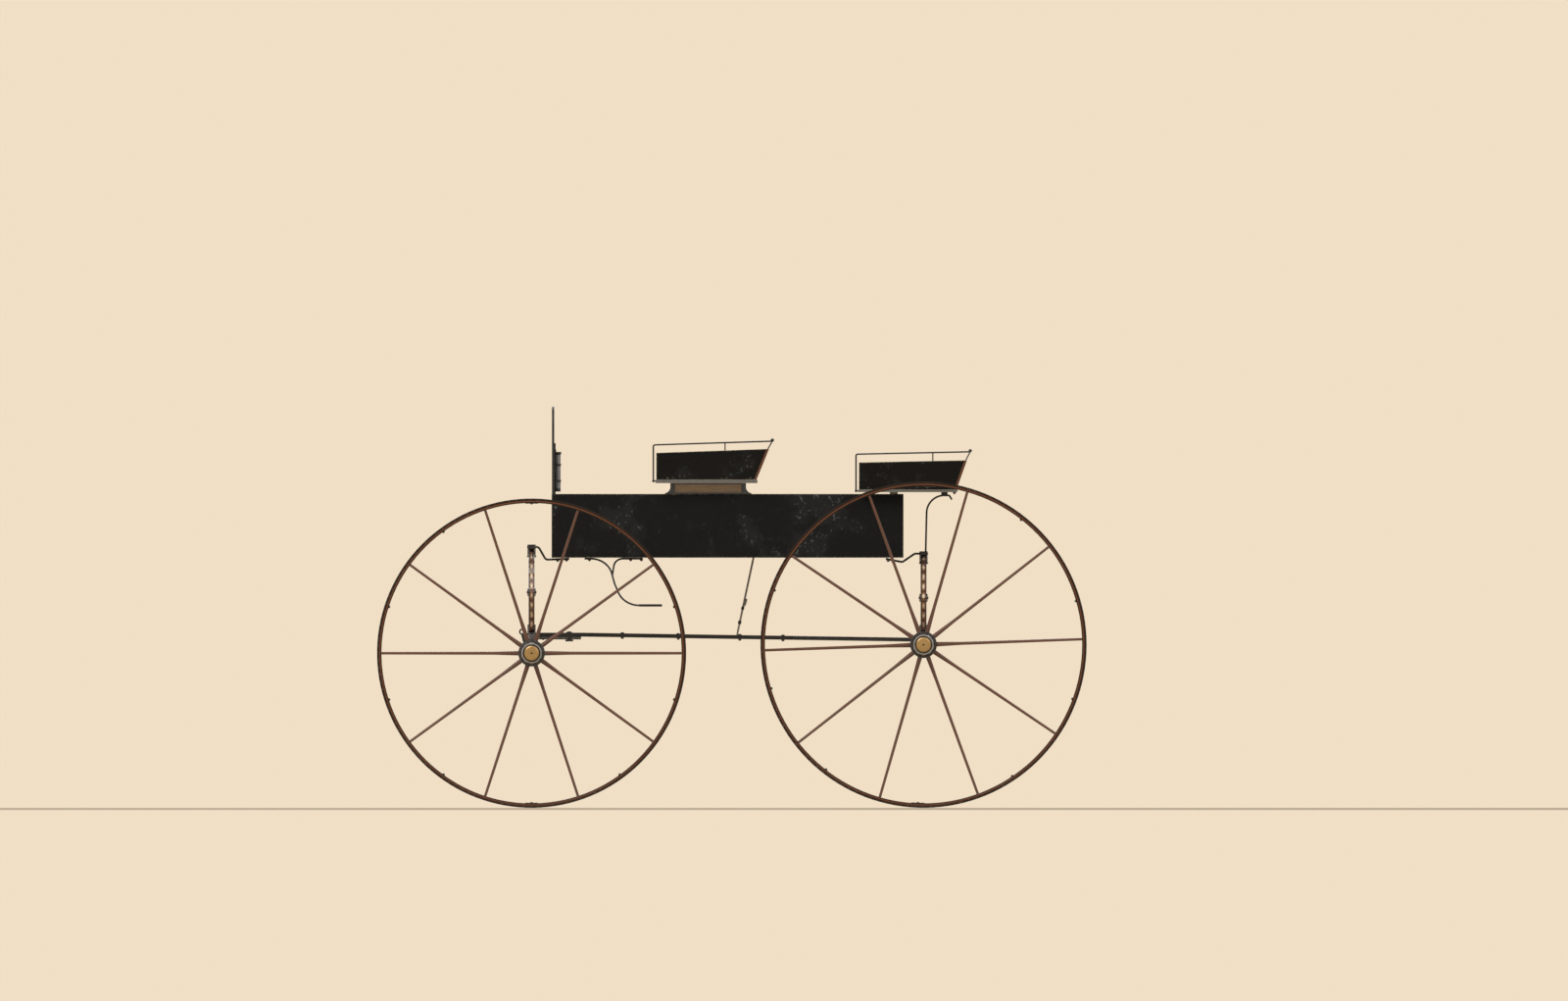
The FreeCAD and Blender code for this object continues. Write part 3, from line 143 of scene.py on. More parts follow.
# Paint rubbed off along edges: nearly bare at the very edge, in ever fewer chips further in.
worn_edges, given, result = new_group("worn_edges",
    [("Width", "Float", 0.002), ("Amount", "Float", 0.5), ("Patch Scale", "Float", 60.0)],
    [("Mask", "Float")])
place = place_on(worn_edges)
rounded = node(worn_edges, "ShaderNodeBevel", {"Radius": given.outputs["Width"]}, samples=6).outputs[0]
agreement = vectors(worn_edges, "DOT_PRODUCT", rounded, normal_on(worn_edges)).outputs["Value"]
edge = spread(worn_edges, agreement, 0.995, 0.78)
patches = noise(worn_edges, place, given.outputs["Patch Scale"], 6.0, 0.7)
handled = noise(worn_edges, place, 6.0, 2.0, 0.5)
chips = times(worn_edges, minus(worn_edges, patches, 0.5), 2.6)
chips = plus(worn_edges, chips, minus(worn_edges, handled, 0.5))
bare = plus(worn_edges, times(worn_edges, edge, given.outputs["Amount"]), chips)
bare = times(worn_edges, minus(worn_edges, bare, 0.5), 5.0, clamp=True)
near = spread(worn_edges, edge, 0.02, 0.12)
worn_edges.links.new(times(worn_edges, near, bare), result.inputs["Mask"])

# Road dust: thick low down and on what faces up, thin higher up.
road_dust, given, result = new_group("road_dust",
    [("Top", "Float", 0.9), ("Amount", "Float", 0.3)], [("Mask", "Float")])
place = place_on(road_dust)
low = spread(road_dust, one_axis(road_dust, place, "Z"), given.outputs["Top"], 0.0, 0.15, 1.0)
facing_up = spread(road_dust, one_axis(road_dust, normal_on(road_dust), "Z"), 0.2, 1.0, 0.55, 1.0)
cloudy = spread(road_dust, noise(road_dust, place, 9.0, 8.0, 0.65), 0.35, 0.7)
dusty = times(road_dust, times(road_dust, low, cloudy), facing_up)
road_dust.links.new(times(road_dust, dusty, given.outputs["Amount"], clamp=True), result.inputs["Mask"])

# Wood grain that shows through thin paint: fine lines along one way of the piece.
wood_grain, given, result = new_group("wood_grain",
    [("Stretch", "Vector", (3.0, 60.0, 60.0)), ("Fineness", "Float", 6.0)],
    [("Lines", "Float"), ("Pores", "Float")])
drawn_out = vectors(wood_grain, "MULTIPLY", place_on(wood_grain), given.outputs["Stretch"]).outputs[0]
lines = noise(wood_grain, drawn_out, given.outputs["Fineness"], 5.0, 0.55)
pores = noise(wood_grain, drawn_out, times(wood_grain, given.outputs["Fineness"], 5.0), 2.0)
wood_grain.links.new(lines, result.inputs["Lines"])
wood_grain.links.new(spread(wood_grain, pores, 0.6, 0.75), result.inputs["Pores"])

# Short scratches and rubbed spots that gather in patches, where the varnish is dulled too.
scuffs, given, result = new_group("scuffs",
    [("Stretch", "Vector", (95.0, 130.0, 75.0)), ("Amount", "Float", 0.5)], [("Mask", "Float")])
place = place_on(scuffs)
drawn_out = vectors(scuffs, "MULTIPLY", place, given.outputs["Stretch"]).outputs[0]
marks = spread(scuffs, noise(scuffs, drawn_out, 1.0, 2.0, 0.6), 0.60, 0.72)
gathered = spread(scuffs, noise(scuffs, place, 7.0, 3.0), 0.50, 0.66, 0.05, 1.0)
marked = times(scuffs, maths(scuffs, "MAXIMUM", marks, 0.08), gathered)
scuffs.links.new(times(scuffs, marked, given.outputs["Amount"], clamp=True), result.inputs["Mask"])

DUST = (0.42, 0.35, 0.26, 1)


def coated(name, colour, worn, roughness, wear=0.5, edge=0.002, patches=60.0, dust=0.25, dust_top=0.9,
           stretch=None, fineness=6.0, grain=0.25, scuff=0.0, scuff_colour=(0.3, 0.3, 0.28, 1), coat=0.0,
           metal=0.0, relief=0.0002, lift=None, shine=0.5):
    """A painted, japanned or bare finish with grain, worn edges, scuffs, dust and its own relief.
    The colour may be a function that puts nodes into the tree and gives back a socket."""
    material = bpy.data.materials.new(name)
    material.use_nodes = True
    tree = material.node_tree
    shader = tree.nodes["Principled BSDF"]
    base = colour(tree) if callable(colour) else colour
    spot = place_on(tree)
    mottle = noise(tree, spot, 28.0, 6.0, 0.65)
    if stretch:
        group = placed(tree, wood_grain, stretch=stretch, fineness=fineness)
        lines, pores = group.outputs["Lines"], group.outputs["Pores"]
    else:
        lines, pores = mottle, spread(tree, noise(tree, spot, 900.0, 2.0), 0.62, 0.72)
    shade = times(tree, spread(tree, lines, 0.3, 0.7, 1.0, 0.0), grain)
    darker = {"Color": base, "Value": 0.55, "Saturation": 1.05}
    base = mixed(tree, shade, base, node(tree, "ShaderNodeHueSaturation", darker).outputs[0])
    if scuff:
        rubbed = placed(tree, scuffs, amount=scuff).outputs["Mask"]
        base = mixed(tree, rubbed, base, scuff_colour)
    bare = placed(tree, worn_edges, width=edge, amount=wear, patch_scale=patches).outputs["Mask"]
    base = mixed(tree, bare, base, worn)
    dusty = placed(tree, road_dust, top=dust_top, amount=dust).outputs["Mask"]
    base = mixed(tree, dusty, base, DUST)
    tree.links.new(base, shader.inputs["Base Color"])
    rough = plus(tree, roughness - 0.08, times(tree, mottle, 0.16))
    rough = plus(tree, rough, times(tree, dusty, 0.45))
    rough = plus(tree, rough, times(tree, bare, 0.15), clamp=True)
    tree.links.new(rough, shader.inputs["Roughness"])
    shader.inputs["Metallic"].default_value = metal
    shader.inputs["Specular IOR Level"].default_value = shine
    shader.inputs["Coat Weight"].default_value = coat
    shader.inputs["Coat Roughness"].default_value = 0.22
    high = minus(tree, lines, times(tree, pores, 0.5))
    high = minus(tree, high, times(tree, bare, 0.8))
    if lift:
        high = plus(tree, high, lift(tree))
    bump = node(tree, "ShaderNodeBump", {"Height": high, "Strength": 0.6, "Distance": relief})
    tree.links.new(bump.outputs["Normal"], shader.inputs["Normal"])
    return material


def finish_nodes(material, *names):
    """The finish goes on the parts' own material slots."""
    for name in names:
        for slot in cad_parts[name].material_slots:
            slot.material = material


def middle_x(name):
    """The middle of a part along the vehicle."""
    low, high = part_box(name)
    return (low.x + high.x) / 2


HALF_TRACK = 0.711
TYRE_AND_FELLOE = 0.017
LINE_FROM_TREAD = 0.0108
ENDS = ("front", "rear")
SIDES = {"left": -1, "right": 1}
HUB_X = {end: middle_x(end + "_left_tyre") for end in ENDS}
HUB_Z = {end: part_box(end + "_left_tyre")[1].z / 2 for end in ENDS}
FELLOE_INNER = {end: HUB_Z[end] - TYRE_AND_FELLOE for end in ENDS}
WHEELS = ["front_left", "front_right", "rear_left", "rear_right"]


def from_line(tree, through, kept):
    """How far a point is from a line. The two axes across the line are kept."""
    moved = vectors(tree, "SUBTRACT", place_on(tree), through).outputs[0]
    flat = vectors(tree, "MULTIPLY", moved, kept).outputs[0]
    return vectors(tree, "LENGTH", flat).outputs["Value"]


def from_hub(tree, end):
    """How far a point of a wheel is from its axle line."""
    return from_line(tree, (HUB_X[end], 0, HUB_Z[end]), (1, 0, 1))


def sideways(tree):
    """One where a surface faces the side of the vehicle, nought where it faces along it, up or down."""
    return spread(tree, unsigned(tree, one_axis(tree, normal_on(tree), "Y")), 0.55, 0.75)


def felloe_colours(end):
    """Dark brown with a reddish brown line round the middle of each side."""
    def paint(tree):
        off = unsigned(tree, minus(tree, from_hub(tree, end), HUB_Z[end] - LINE_FROM_TREAD))
        line = times(tree, spread(tree, off, 0.0026, 0.0018), sideways(tree))
        return mixed(tree, line, (0.013, 0.0055, 0.003, 1), (0.110, 0.037, 0.013, 1))
    return paint


def tyre_colours(tree):
    """Painted sides, and a running face that the road keeps bare."""
    return mixed(tree, sideways(tree), (0.17, 0.15, 0.13, 1), (0.017, 0.008, 0.0045, 1))


tyre_iron = coated("worn_tyre_iron", tyre_colours, (0.10, 0.08, 0.06, 1), 0.5, wear=0.3, dust=0.06,
    dust_top=0.5, scuff=0.3, scuff_colour=(0.09, 0.07, 0.05, 1), relief=0.0003, metal=0.2, shine=0.2)
spoke_brown = coated("brown_spoke_paint", (0.098, 0.040, 0.021, 1), (0.20, 0.12, 0.07, 1), 0.42,
    wear=0.3, edge=0.0015, dust=0.06, dust_top=0.6, stretch=(34.0, 90.0, 34.0), grain=0.35, coat=0.1,
    shine=0.3)
for end in ENDS:
    felloe_brown = coated(end + "_felloe_paint", felloe_colours(end), (0.13, 0.07, 0.04, 1), 0.42,
        wear=0.25, edge=0.0012, dust=0.04, dust_top=0.5, stretch=(30.0, 60.0, 30.0), grain=0.3,
        coat=0.06, shine=0.15)
    finish_nodes(felloe_brown, end + "_left_felloe", end + "_right_felloe")
for wheel in WHEELS:
    finish_nodes(tyre_iron, wheel + "_tyre")
    finish_nodes(spoke_brown, wheel + "_spokes")


def new_tree(name, inputs):
    """A geometry node tree with named inputs (name, kind, value) and a mesh at its end."""
    tree = bpy.data.node_groups.new(name, "GeometryNodeTree")
    tree.interface.new_socket("Geometry", in_out="INPUT", socket_type="NodeSocketGeometry")
    for label, kind, start in inputs:
        socket = tree.interface.new_socket(label, in_out="INPUT", socket_type="NodeSocket" + kind)
        if start is not None:
            socket.default_value = start
    tree.interface.new_socket("Geometry", in_out="OUTPUT", socket_type="NodeSocketGeometry")
    return tree, tree.nodes.new("NodeGroupInput"), tree.nodes.new("NodeGroupOutput")


def close_tree(tree, given, result, instances):
    """Makes the copies real, gives them their material and ends the tree."""
    real = node(tree, "GeometryNodeRealizeInstances", {"Geometry": instances}).outputs[0]
    finish = {"Geometry": real, "Material": given.outputs["Material"]}
    tree.links.new(node(tree, "GeometryNodeSetMaterial", finish).outputs[0], result.inputs["Geometry"])


def link(piece):
    scene.collection.objects.link(piece)
    return piece


def real_mesh(carrier):
    """The plain mesh that an object's modifiers or its curve make."""
    bpy.context.view_layer.update()
    return bpy.data.meshes.new_from_object(carrier.evaluated_get(bpy.context.evaluated_depsgraph_get()))


def made_by_nodes(name, tree, base=None, **settings):
    """Runs a tree on a carrier and keeps what it makes as a plain mesh."""
    carrier = link(bpy.data.objects.new(name, base or bpy.data.meshes.new(name + "_base")))
    modifier = carrier.modifiers.new("nodes", "NODES")
    modifier.node_group = tree
    for item in tree.interface.items_tree:
        key = item.name.lower().replace(" ", "_")
        if item.item_type == "SOCKET" and item.in_out == "INPUT" and key in settings:
            modifier[item.identifier] = settings[key]
    mesh = real_mesh(carrier)
    bpy.data.objects.remove(carrier)
    return link(bpy.data.objects.new(name, mesh))


def carried(piece, body):
    """The piece moves with a body."""
    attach(piece, body)
    return piece


def towards(tree, direction):
    """The turn that stands a head up along a direction."""
    return node(tree, "FunctionNodeAlignRotationToVector", {"Vector": direction}, axis="Z").outputs[0]


def bead(tree, radius, height, sides, rings=6):
    """A flattened or drawn out ball: half of it shows as the dome of a rivet or a bolt."""
    ball = node(tree, "GeometryNodeMeshUVSphere", {"Segments": sides, "Rings": rings, "Radius": 1.0})
    size = node(tree, "ShaderNodeCombineXYZ", {"X": radius, "Y": radius, "Z": height}).outputs[0]
    return node(tree, "GeometryNodeTransform", {"Geometry": ball.outputs["Mesh"], "Scale": size}).outputs[0]


def nut_on_washer(tree, radius, height):
    """A hexagon nut on its washer, with the end of the bolt standing out of it."""
    joined = tree.nodes.new("GeometryNodeJoinGeometry")
    for sides, wide, tall in ((6, 1.0, 1.0), (16, 1.3, 0.22), (10, 0.5, 1.35)):
        across = times(tree, radius, wide)
        depth = times(tree, height, tall)
        size = {"Vertices": sides, "Radius": across, "Depth": depth}
        turned = node(tree, "GeometryNodeMeshCylinder", size)
        lifted = node(tree, "ShaderNodeCombineXYZ", {"Z": times(tree, depth, 0.5)}).outputs[0]
        seat = {"Geometry": turned.outputs["Mesh"], "Translation": lifted}
        tree.links.new(node(tree, "GeometryNodeTransform", seat).outputs[0], joined.inputs[0])
    return joined.outputs[0]


def head_or_nut(tree, given, nuts, sides):
    """A nut, or a head with so many sides, in the sizes given to the tree."""
    radius, height = given.outputs["Head Radius"], given.outputs["Head Height"]
    return nut_on_washer(tree, radius, height) if nuts else bead(tree, radius, height, sides)


def ring_tree(name, nuts):
    """Heads or nuts in a ring round an axle line, that face outwards or in at the hub."""
    tree, given, result = new_tree(name, [
        ("Count", "Int", 10), ("Ring Radius", "Float", 0.04), ("Centre", "Vector", None),
        ("Turn", "Float", 0.0), ("Facing", "Vector", None), ("Inward", "Float", 0.0),
        ("Head Radius", "Float", 0.003), ("Head Height", "Float", 0.002), ("Material", "Material", None)])
    centre = given.outputs["Centre"]
    ring = node(tree, "GeometryNodeMeshCircle",
        {"Vertices": given.outputs["Count"], "Radius": given.outputs["Ring Radius"]}).outputs[0]
    turn = node(tree, "ShaderNodeCombineXYZ", {"X": math.pi / 2, "Y": given.outputs["Turn"]}).outputs[0]
    upright = {"Geometry": ring, "Translation": centre, "Rotation": turn}
    ring = node(tree, "GeometryNodeTransform", upright).outputs[0]
    spot = node(tree, "GeometryNodeInputPosition").outputs[0]
    to_hub = vectors(tree, "SUBTRACT", centre, spot).outputs[0]
    inward = node(tree, "ShaderNodeVectorMath", {0: to_hub, "Scale": given.outputs["Inward"]},
        operation="SCALE").outputs[0]
    way = towards(tree, vectors(tree, "ADD", inward, given.outputs["Facing"]).outputs[0])
    head = head_or_nut(tree, given, nuts, 12)
    heads = node(tree, "GeometryNodeInstanceOnPoints", {"Points": ring, "Instance": head, "Rotation": way})
    close_tree(tree, given, result, heads.outputs[0])
    return tree


def spots_tree(name, nuts):
    """Heads or nuts on the points of a mesh, all facing one way."""
    tree, given, result = new_tree(name, [
        ("Facing", "Vector", None), ("Head Radius", "Float", 0.004), ("Head Height", "Float", 0.003),
        ("Material", "Material", None)])
    way = towards(tree, given.outputs["Facing"])
    head = head_or_nut(tree, given, nuts, 16)
    heads = node(tree, "GeometryNodeInstanceOnPoints",
        {"Points": given.outputs["Geometry"], "Instance": head, "Rotation": way})
    close_tree(tree, given, result, heads.outputs[0])
    return tree


UP, DOWN, FORWARD, BACKWARD = (0, 0, 1), (0, 0, -1), (-1, 0, 0), (1, 0, 0)
bolt_iron = coated("bolt_iron", (0.035, 0.028, 0.023, 1), (0.3, 0.28, 0.25, 1), 0.42, wear=0.6,
    edge=0.0008, dust=0.1, dust_top=1.0, metal=0.5, relief=0.0001)
ring_of_nuts = ring_tree("ring_of_nuts", nuts=True)
nuts_on_spots = spots_tree("nuts_on_spots", nuts=True)
heads_on_spots = spots_tree("heads_on_spots", nuts=False)


def at_spots(name, tree, spots, body, facing, radius, height, material=bolt_iron):
    """Heads or nuts at a list of places, as one piece on one body."""
    points = bpy.data.meshes.new(name + "_spots")
    points.from_pydata([tuple(spot) for spot in spots], [], [])
    piece = made_by_nodes(name, tree, points, facing=facing, head_radius=radius, head_height=height,
        material=material)
    return carried(piece, body)


def skin(work, loops, closed):
    """Faces from each loop of corners to the next one."""
    pairs = list(zip(loops, loops[1:]))
    if closed:
        pairs.append((loops[-1], loops[0]))
    for first, second in pairs:
        for corner, vert in enumerate(first):
            after = (corner + 1) % len(first)
            work.faces.new((vert, first[after], second[after], second[corner]))


def with_soft_edges(work, width):
    """The faces turned outwards and every edge rounded a little."""
    bmesh.ops.recalc_face_normals(work, faces=work.faces)
    bmesh.ops.bevel(work, geom=list(work.edges), offset=width, segments=2, affect="EDGES", profile=0.5)


def piece_from(work, name, material):
    """A piece of the faces that were worked."""
    mesh = bpy.data.meshes.new(name)
    work.to_mesh(mesh)
    work.free()
    mesh.materials.append(material)
    return link(bpy.data.objects.new(name, mesh))


CLIP_HALF_TURN, CLIP_HALF_WIDTH = math.radians(2.4), 0.0075
CLIP_THICKNESS, CLIP_SUNK = 0.0022, 0.0004


def felloe_clip(work, wheel, angle):
    """A thin iron plate bent to the inside of the felloe over its joint."""
    end, side = wheel.split("_")
    outer, inner = FELLOE_INNER[end] + CLIP_SUNK, FELLOE_INNER[end] - CLIP_THICKNESS
    rings = []
    for step in range(13):
        from_middle = step / 6 - 1
        turn = angle + CLIP_HALF_TURN * from_middle
        half_width = max(CLIP_HALF_WIDTH * math.sqrt(max(0.0, 1 - from_middle ** 8)), 0.003)
        ring = []
        for way, radius in ((-1, outer), (1, outer), (1, inner), (-1, inner)):
            ring.append(work.verts.new((HUB_X[end] + radius * math.cos(turn),
                SIDES[side] * HALF_TRACK + way * half_width, HUB_Z[end] + radius * math.sin(turn))))
        rings.append(ring)
    skin(work, rings, closed=False)
    work.faces.new(reversed(rings[0]))
    work.faces.new(rings[-1])


FIRST_BOLT = {"front": math.radians(18.0), "rear": math.radians(20.0)}
for wheel in WHEELS:
    end, side = wheel.split("_")
    nuts = made_by_nodes(wheel + "_tyre_bolt_nuts", ring_of_nuts, count=10,
        ring_radius=FELLOE_INNER[end] + 0.0003, centre=(HUB_X[end], SIDES[side] * HALF_TRACK, HUB_Z[end]),
        turn=FIRST_BOLT[end], inward=1.0, head_radius=0.0048, head_height=0.0042, material=bolt_iron)
    carried(nuts, wheel + "_wheel")
    work = bmesh.new()
    top = math.pi / 2 - (FIRST_BOLT[end] - FIRST_BOLT["front"])
    for joint in (top, top + math.pi):
        felloe_clip(work, wheel, joint)
    with_soft_edges(work, 0.0004)
    carried(piece_from(work, wheel + "_felloe_clips", bolt_iron), wheel + "_wheel")


# Hubs and cap nuts
# Wooden hubs are clamped between two riveted iron flanges and end in a bright nose band. A
# screwed brass cap nut with a dimpled middle keeps the wheel on the axle arm.
def hub_colours(end):
    """Dark flanges, and a bright band at the nose."""
    def paint(tree):
        out = unsigned(tree, one_axis(tree, place_on(tree), "Y"))
        band = spread(tree, from_hub(tree, end), 0.0338, 0.0344)
        nose = times(tree, spread(tree, out, 0.7795, 0.7805), band)
        return mixed(tree, nose, (0.022, 0.018, 0.015, 1), (0.33, 0.31, 0.27, 1))
    return paint


def cap_colours_and_shade(end):
    """Ochre brass with faint turning rings, painted shade on the rim where the cap meets the hub, and
    painted shade in the dimple in the middle.
    """
    def paint(tree):
        radius = from_hub(tree, end)
        rings = maths(tree, "SINE", times(tree, radius, 1250.0))
        brass = mixed(tree, spread(tree, rings, -0.2, 1.0, 0.0, 0.6), (0.37, 0.22, 0.072, 1),
            (0.20, 0.115, 0.04, 1))
        # Painted shade: dark on the cap's rim where it meets the hub's nose, and in the dimple at the
        # middle.
        brass = mixed(tree, spread(tree, radius, 0.0262, 0.0278), brass, (0.045, 0.03, 0.016, 1))
        return mixed(tree, spread(tree, radius, 0.0042, 0.0034), brass, (0.03, 0.018, 0.01, 1))
    return paint


for end in ENDS:
    hub_iron = coated(end + "_hub_iron", hub_colours(end), (0.36, 0.34, 0.30, 1), 0.4, wear=0.75,
        edge=0.0015, patches=140.0, dust=0.2, dust_top=1.0, metal=0.35, coat=0.15)
    cap_brass_and_shade = coated(end + "_cap_brass", cap_colours_and_shade(end), (0.62, 0.45, 0.2, 1), 0.38, wear=0.4,
        edge=0.001, dust=0.1, dust_top=1.0, metal=0.55, grain=0.3)
    finish_nodes(hub_iron, end + "_left_hub", end + "_right_hub")
    finish_nodes(cap_brass_and_shade, end + "_axle_nuts")

flange_rivet = coated("flange_rivet", (0.05, 0.045, 0.04, 1), (0.42, 0.40, 0.36, 1), 0.35, wear=0.8,
    edge=0.0008, dust=0.15, dust_top=1.0, metal=0.5, relief=0.0001)
ring_of_rivets = ring_tree("ring_of_rivets", nuts=False)
OUTER_FLANGE = 0.6958
for wheel in WHEELS:
    end, side = wheel.split("_")
    rivets = made_by_nodes(wheel + "_flange_rivets", ring_of_rivets, count=20, ring_radius=0.0437,
        centre=(HUB_X[end], SIDES[side] * OUTER_FLANGE, HUB_Z[end]), turn=math.radians(9.0),
        facing=(0, SIDES[side], 0), inward=0.0, head_radius=0.0031, head_height=0.0022,
        material=flange_rivet)
    carried(rivets, wheel + "_wheel")


# Axles, beds, head block and fifth wheel
# Square iron axles are clipped under shaved ash beds. The front bed turns under the head block
# on two iron plates round the king bolt. The iron is japanned black, the wood painted black.
gear_black = coated("black_gear_paint", (0.012, 0.009, 0.007, 1), (0.24, 0.19, 0.13, 1), 0.40,
    edge=0.0022, dust=0.10, stretch=(4.0, 40.0, 60.0), grain=0.3, scuff=0.4,
    scuff_colour=(0.12, 0.10, 0.08, 1), coat=0.08, shine=0.25)
iron_black = coated("japanned_iron", (0.016, 0.014, 0.013, 1), (0.22, 0.20, 0.17, 1), 0.38, wear=0.55,
    edge=0.0014, patches=110.0, dust=0.10, scuff=0.4, scuff_colour=(0.12, 0.115, 0.11, 1), metal=0.25,
    relief=0.00015, shine=0.35)
iron_bright = coated("grey_iron", (0.20, 0.185, 0.18, 1), (0.42, 0.40, 0.37, 1), 0.36, edge=0.001,
    dust=0.12, dust_top=0.8, metal=0.75, grain=0.6, scuff=0.6, scuff_colour=(0.05, 0.045, 0.042, 1))
finish_nodes(gear_black, "rear_axle_bed", "front_axle_bed")
finish_nodes(iron_black, "front_axle", "rear_axle", "king_bolt", "fifth_wheel_upper",
    "fifth_wheel_lower", "perch_stays", "shaft_couplings", "front_spring_clips", "rear_spring_clips")
finish_nodes(iron_bright, "head_block")

BED_STRAP_Y, BED_STRAP_HALF_WIDTH = 0.225, 0.011
BED_STRAP_THICKNESS, BED_STRAP_SUNK = 0.003, 0.0002
BARS_HALF_DEPTH = {"front": 0.015, "rear": 0.017}
AXLE_UNDERSIDE = {"front": 0.5638, "rear": 0.5956}
BED_TOP_AT_STRAP = {"front": 0.61987, "rear": 0.64908}
BED_FALL = {"front": 0.142, "rear": 0.085}
BED_BODY = {"front": "front_gear", "rear": "carriage"}


def strap_round_bars(end, side):
    """A flat iron strap round an axle and its bed. Its top follows the bed's fall to the side."""
    work = bmesh.new()
    loops = []
    outer, inner = BED_STRAP_THICKNESS, -BED_STRAP_SUNK
    for proud, way in ((outer, -1), (outer, 1), (inner, 1), (inner, -1)):
        y = SIDES[side] * BED_STRAP_Y + way * BED_STRAP_HALF_WIDTH
        reach = BARS_HALF_DEPTH[end] + proud
        front, back = HUB_X[end] - reach, HUB_X[end] + reach
        under = AXLE_UNDERSIDE[end] - proud
        top = BED_TOP_AT_STRAP[end] - BED_FALL[end] * (abs(y) - BED_STRAP_Y) + proud
        corners = ((front, y, under), (back, y, under), (back, y, top), (front, y, top))
        loops.append([work.verts.new(corner) for corner in corners])
    skin(work, loops, closed=True)
    with_soft_edges(work, 0.0009)
    carried(piece_from(work, end + "_bed_strap_" + side, iron_black), BED_BODY[end])


for side in SIDES:
    for end in ENDS:
        strap_round_bars(end, side)
for end in ENDS:
    nut_z = AXLE_UNDERSIDE[end] - BED_STRAP_THICKNESS
    at_spots(end + "_bed_strap_nuts", nuts_on_spots,
        [(HUB_X[end], out * BED_STRAP_Y, nut_z) for out in SIDES.values()],
        BED_BODY[end], DOWN, radius=0.007, height=0.006)

KING_X = middle_x("king_bolt")
PLATE_MIDDLE_RADIUS = 0.146
UPPER_PLATE_TOP, LOWER_PLATE_UNDERSIDE = 0.6393, 0.6292
plate_spots = []
for turn in (math.radians(degrees) for degrees in (-62, -48, 48, 62)):
    plate_spots.append((KING_X - PLATE_MIDDLE_RADIUS * math.cos(turn), PLATE_MIDDLE_RADIUS * math.sin(turn)))
at_spots("upper_plate_rivets", heads_on_spots, [(x, y, UPPER_PLATE_TOP) for x, y in plate_spots],
    "carriage", UP, radius=0.0045, height=0.0026)
at_spots("lower_plate_rivets", heads_on_spots, [(x, y, LOWER_PLATE_UNDERSIDE) for x, y in plate_spots],
    "front_gear", DOWN, radius=0.0045, height=0.0026)


# Perch
# A straight ash pole from the head block to the rear bed, painted black. Carriage bolts with
# broad domed heads go down through it and through its iron plate.
finish_nodes(gear_black, "perch")

PERCH_DEPTH = 0.0148
perch_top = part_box("perch")[1].z
# Each bolt's place along the perch, and how far the perch has fallen there from its front end.
PERCH_BOLTS = ((-0.409, 0.0022), (-0.20, 0.0054), (0.03, 0.0088), (0.191, 0.0112))
at_spots("perch_bolts", heads_on_spots, [(x, 0, perch_top - fall) for x, fall in PERCH_BOLTS],
    "carriage", UP, radius=0.0075, height=0.0045)
at_spots("perch_bolt_nuts", nuts_on_spots,
    [(x, 0, perch_top - fall - PERCH_DEPTH) for x, fall in PERCH_BOLTS],
    "carriage", DOWN, radius=0.0055, height=0.005)


# Springs
# Full ellipses of four steel leaves a side, painted brown with black edges. A row of pale ovals down
# each leaf is painted highlight on the leaf steps, and painted shade darkens the brown between them.
# The eyes at the ends turn in forks on a bolt.
# The painted highlight ovals: their rise from one to the next, and the height of the lowest.
HIGHLIGHT_RISE = 0.0362
FIRST_HIGHLIGHT = {"front": 0.6675, "rear": 0.6640}


def spring_paint_and_highlights(end):
    """Brown with painted shade between the ovals, a painted highlight oval at each leaf step, and black
    edges.
    """
    def paint(tree):
        place = place_on(tree)
        off = unsigned(tree, minus(tree, one_axis(tree, place, "X"), HUB_X[end]))
        up = over(tree, minus(tree, one_axis(tree, place, "Z"), FIRST_HIGHLIGHT[end]), HIGHLIGHT_RISE)
        step = unsigned(tree, minus(tree, maths(tree, "FRACT", up), 0.5))
        across = maths(tree, "POWER", over(tree, off, 0.0040), 2.0)
        highlight_oval = plus(tree, across, maths(tree, "POWER", over(tree, step, 0.26), 2.0))
        # Painted shade darkens the brown between the ovals, and each oval is a painted highlight.
        between = spread(tree, step, 0.28, 0.5)
        shaded_brown = mixed(tree, between, (0.21, 0.098, 0.048, 1), (0.075, 0.030, 0.016, 1))
        highlit = mixed(tree, spread(tree, highlight_oval, 1.25, 0.65), shaded_brown, (0.66, 0.53, 0.38, 1))
        return mixed(tree, spread(tree, off, 0.0064, 0.0078), highlit, (0.020, 0.014, 0.011, 1))
    return paint


# For each spring: the undersides of the saddle and of the band that its clip's legs come through.
CLIP_LEG_X, CLIP_LEG_Y = 0.0137, 0.034
CLIP_FEET = {"front": (0.6478, 0.9405), "rear": (0.6547, 0.9155)}
for end, feet in CLIP_FEET.items():
    leaf_paint_and_highlights = coated(end + "_leaf_paint", spring_paint_and_highlights(end), (0.2, 0.15, 0.1, 1), 0.4, wear=0.3,
        edge=0.001, dust=0.12, dust_top=1.1, coat=0.3)
    finish_nodes(leaf_paint_and_highlights, end + "_spring_upper", end + "_spring_lower")
    spots = []
    for y in (-CLIP_LEG_Y, CLIP_LEG_Y):
        spots += [(HUB_X[end] + leg, y, foot) for leg in (-CLIP_LEG_X, CLIP_LEG_X) for foot in feet]
    at_spots(end + "_clip_nuts", nuts_on_spots, spots, "carriage", DOWN,
        radius=0.0038, height=0.0036)

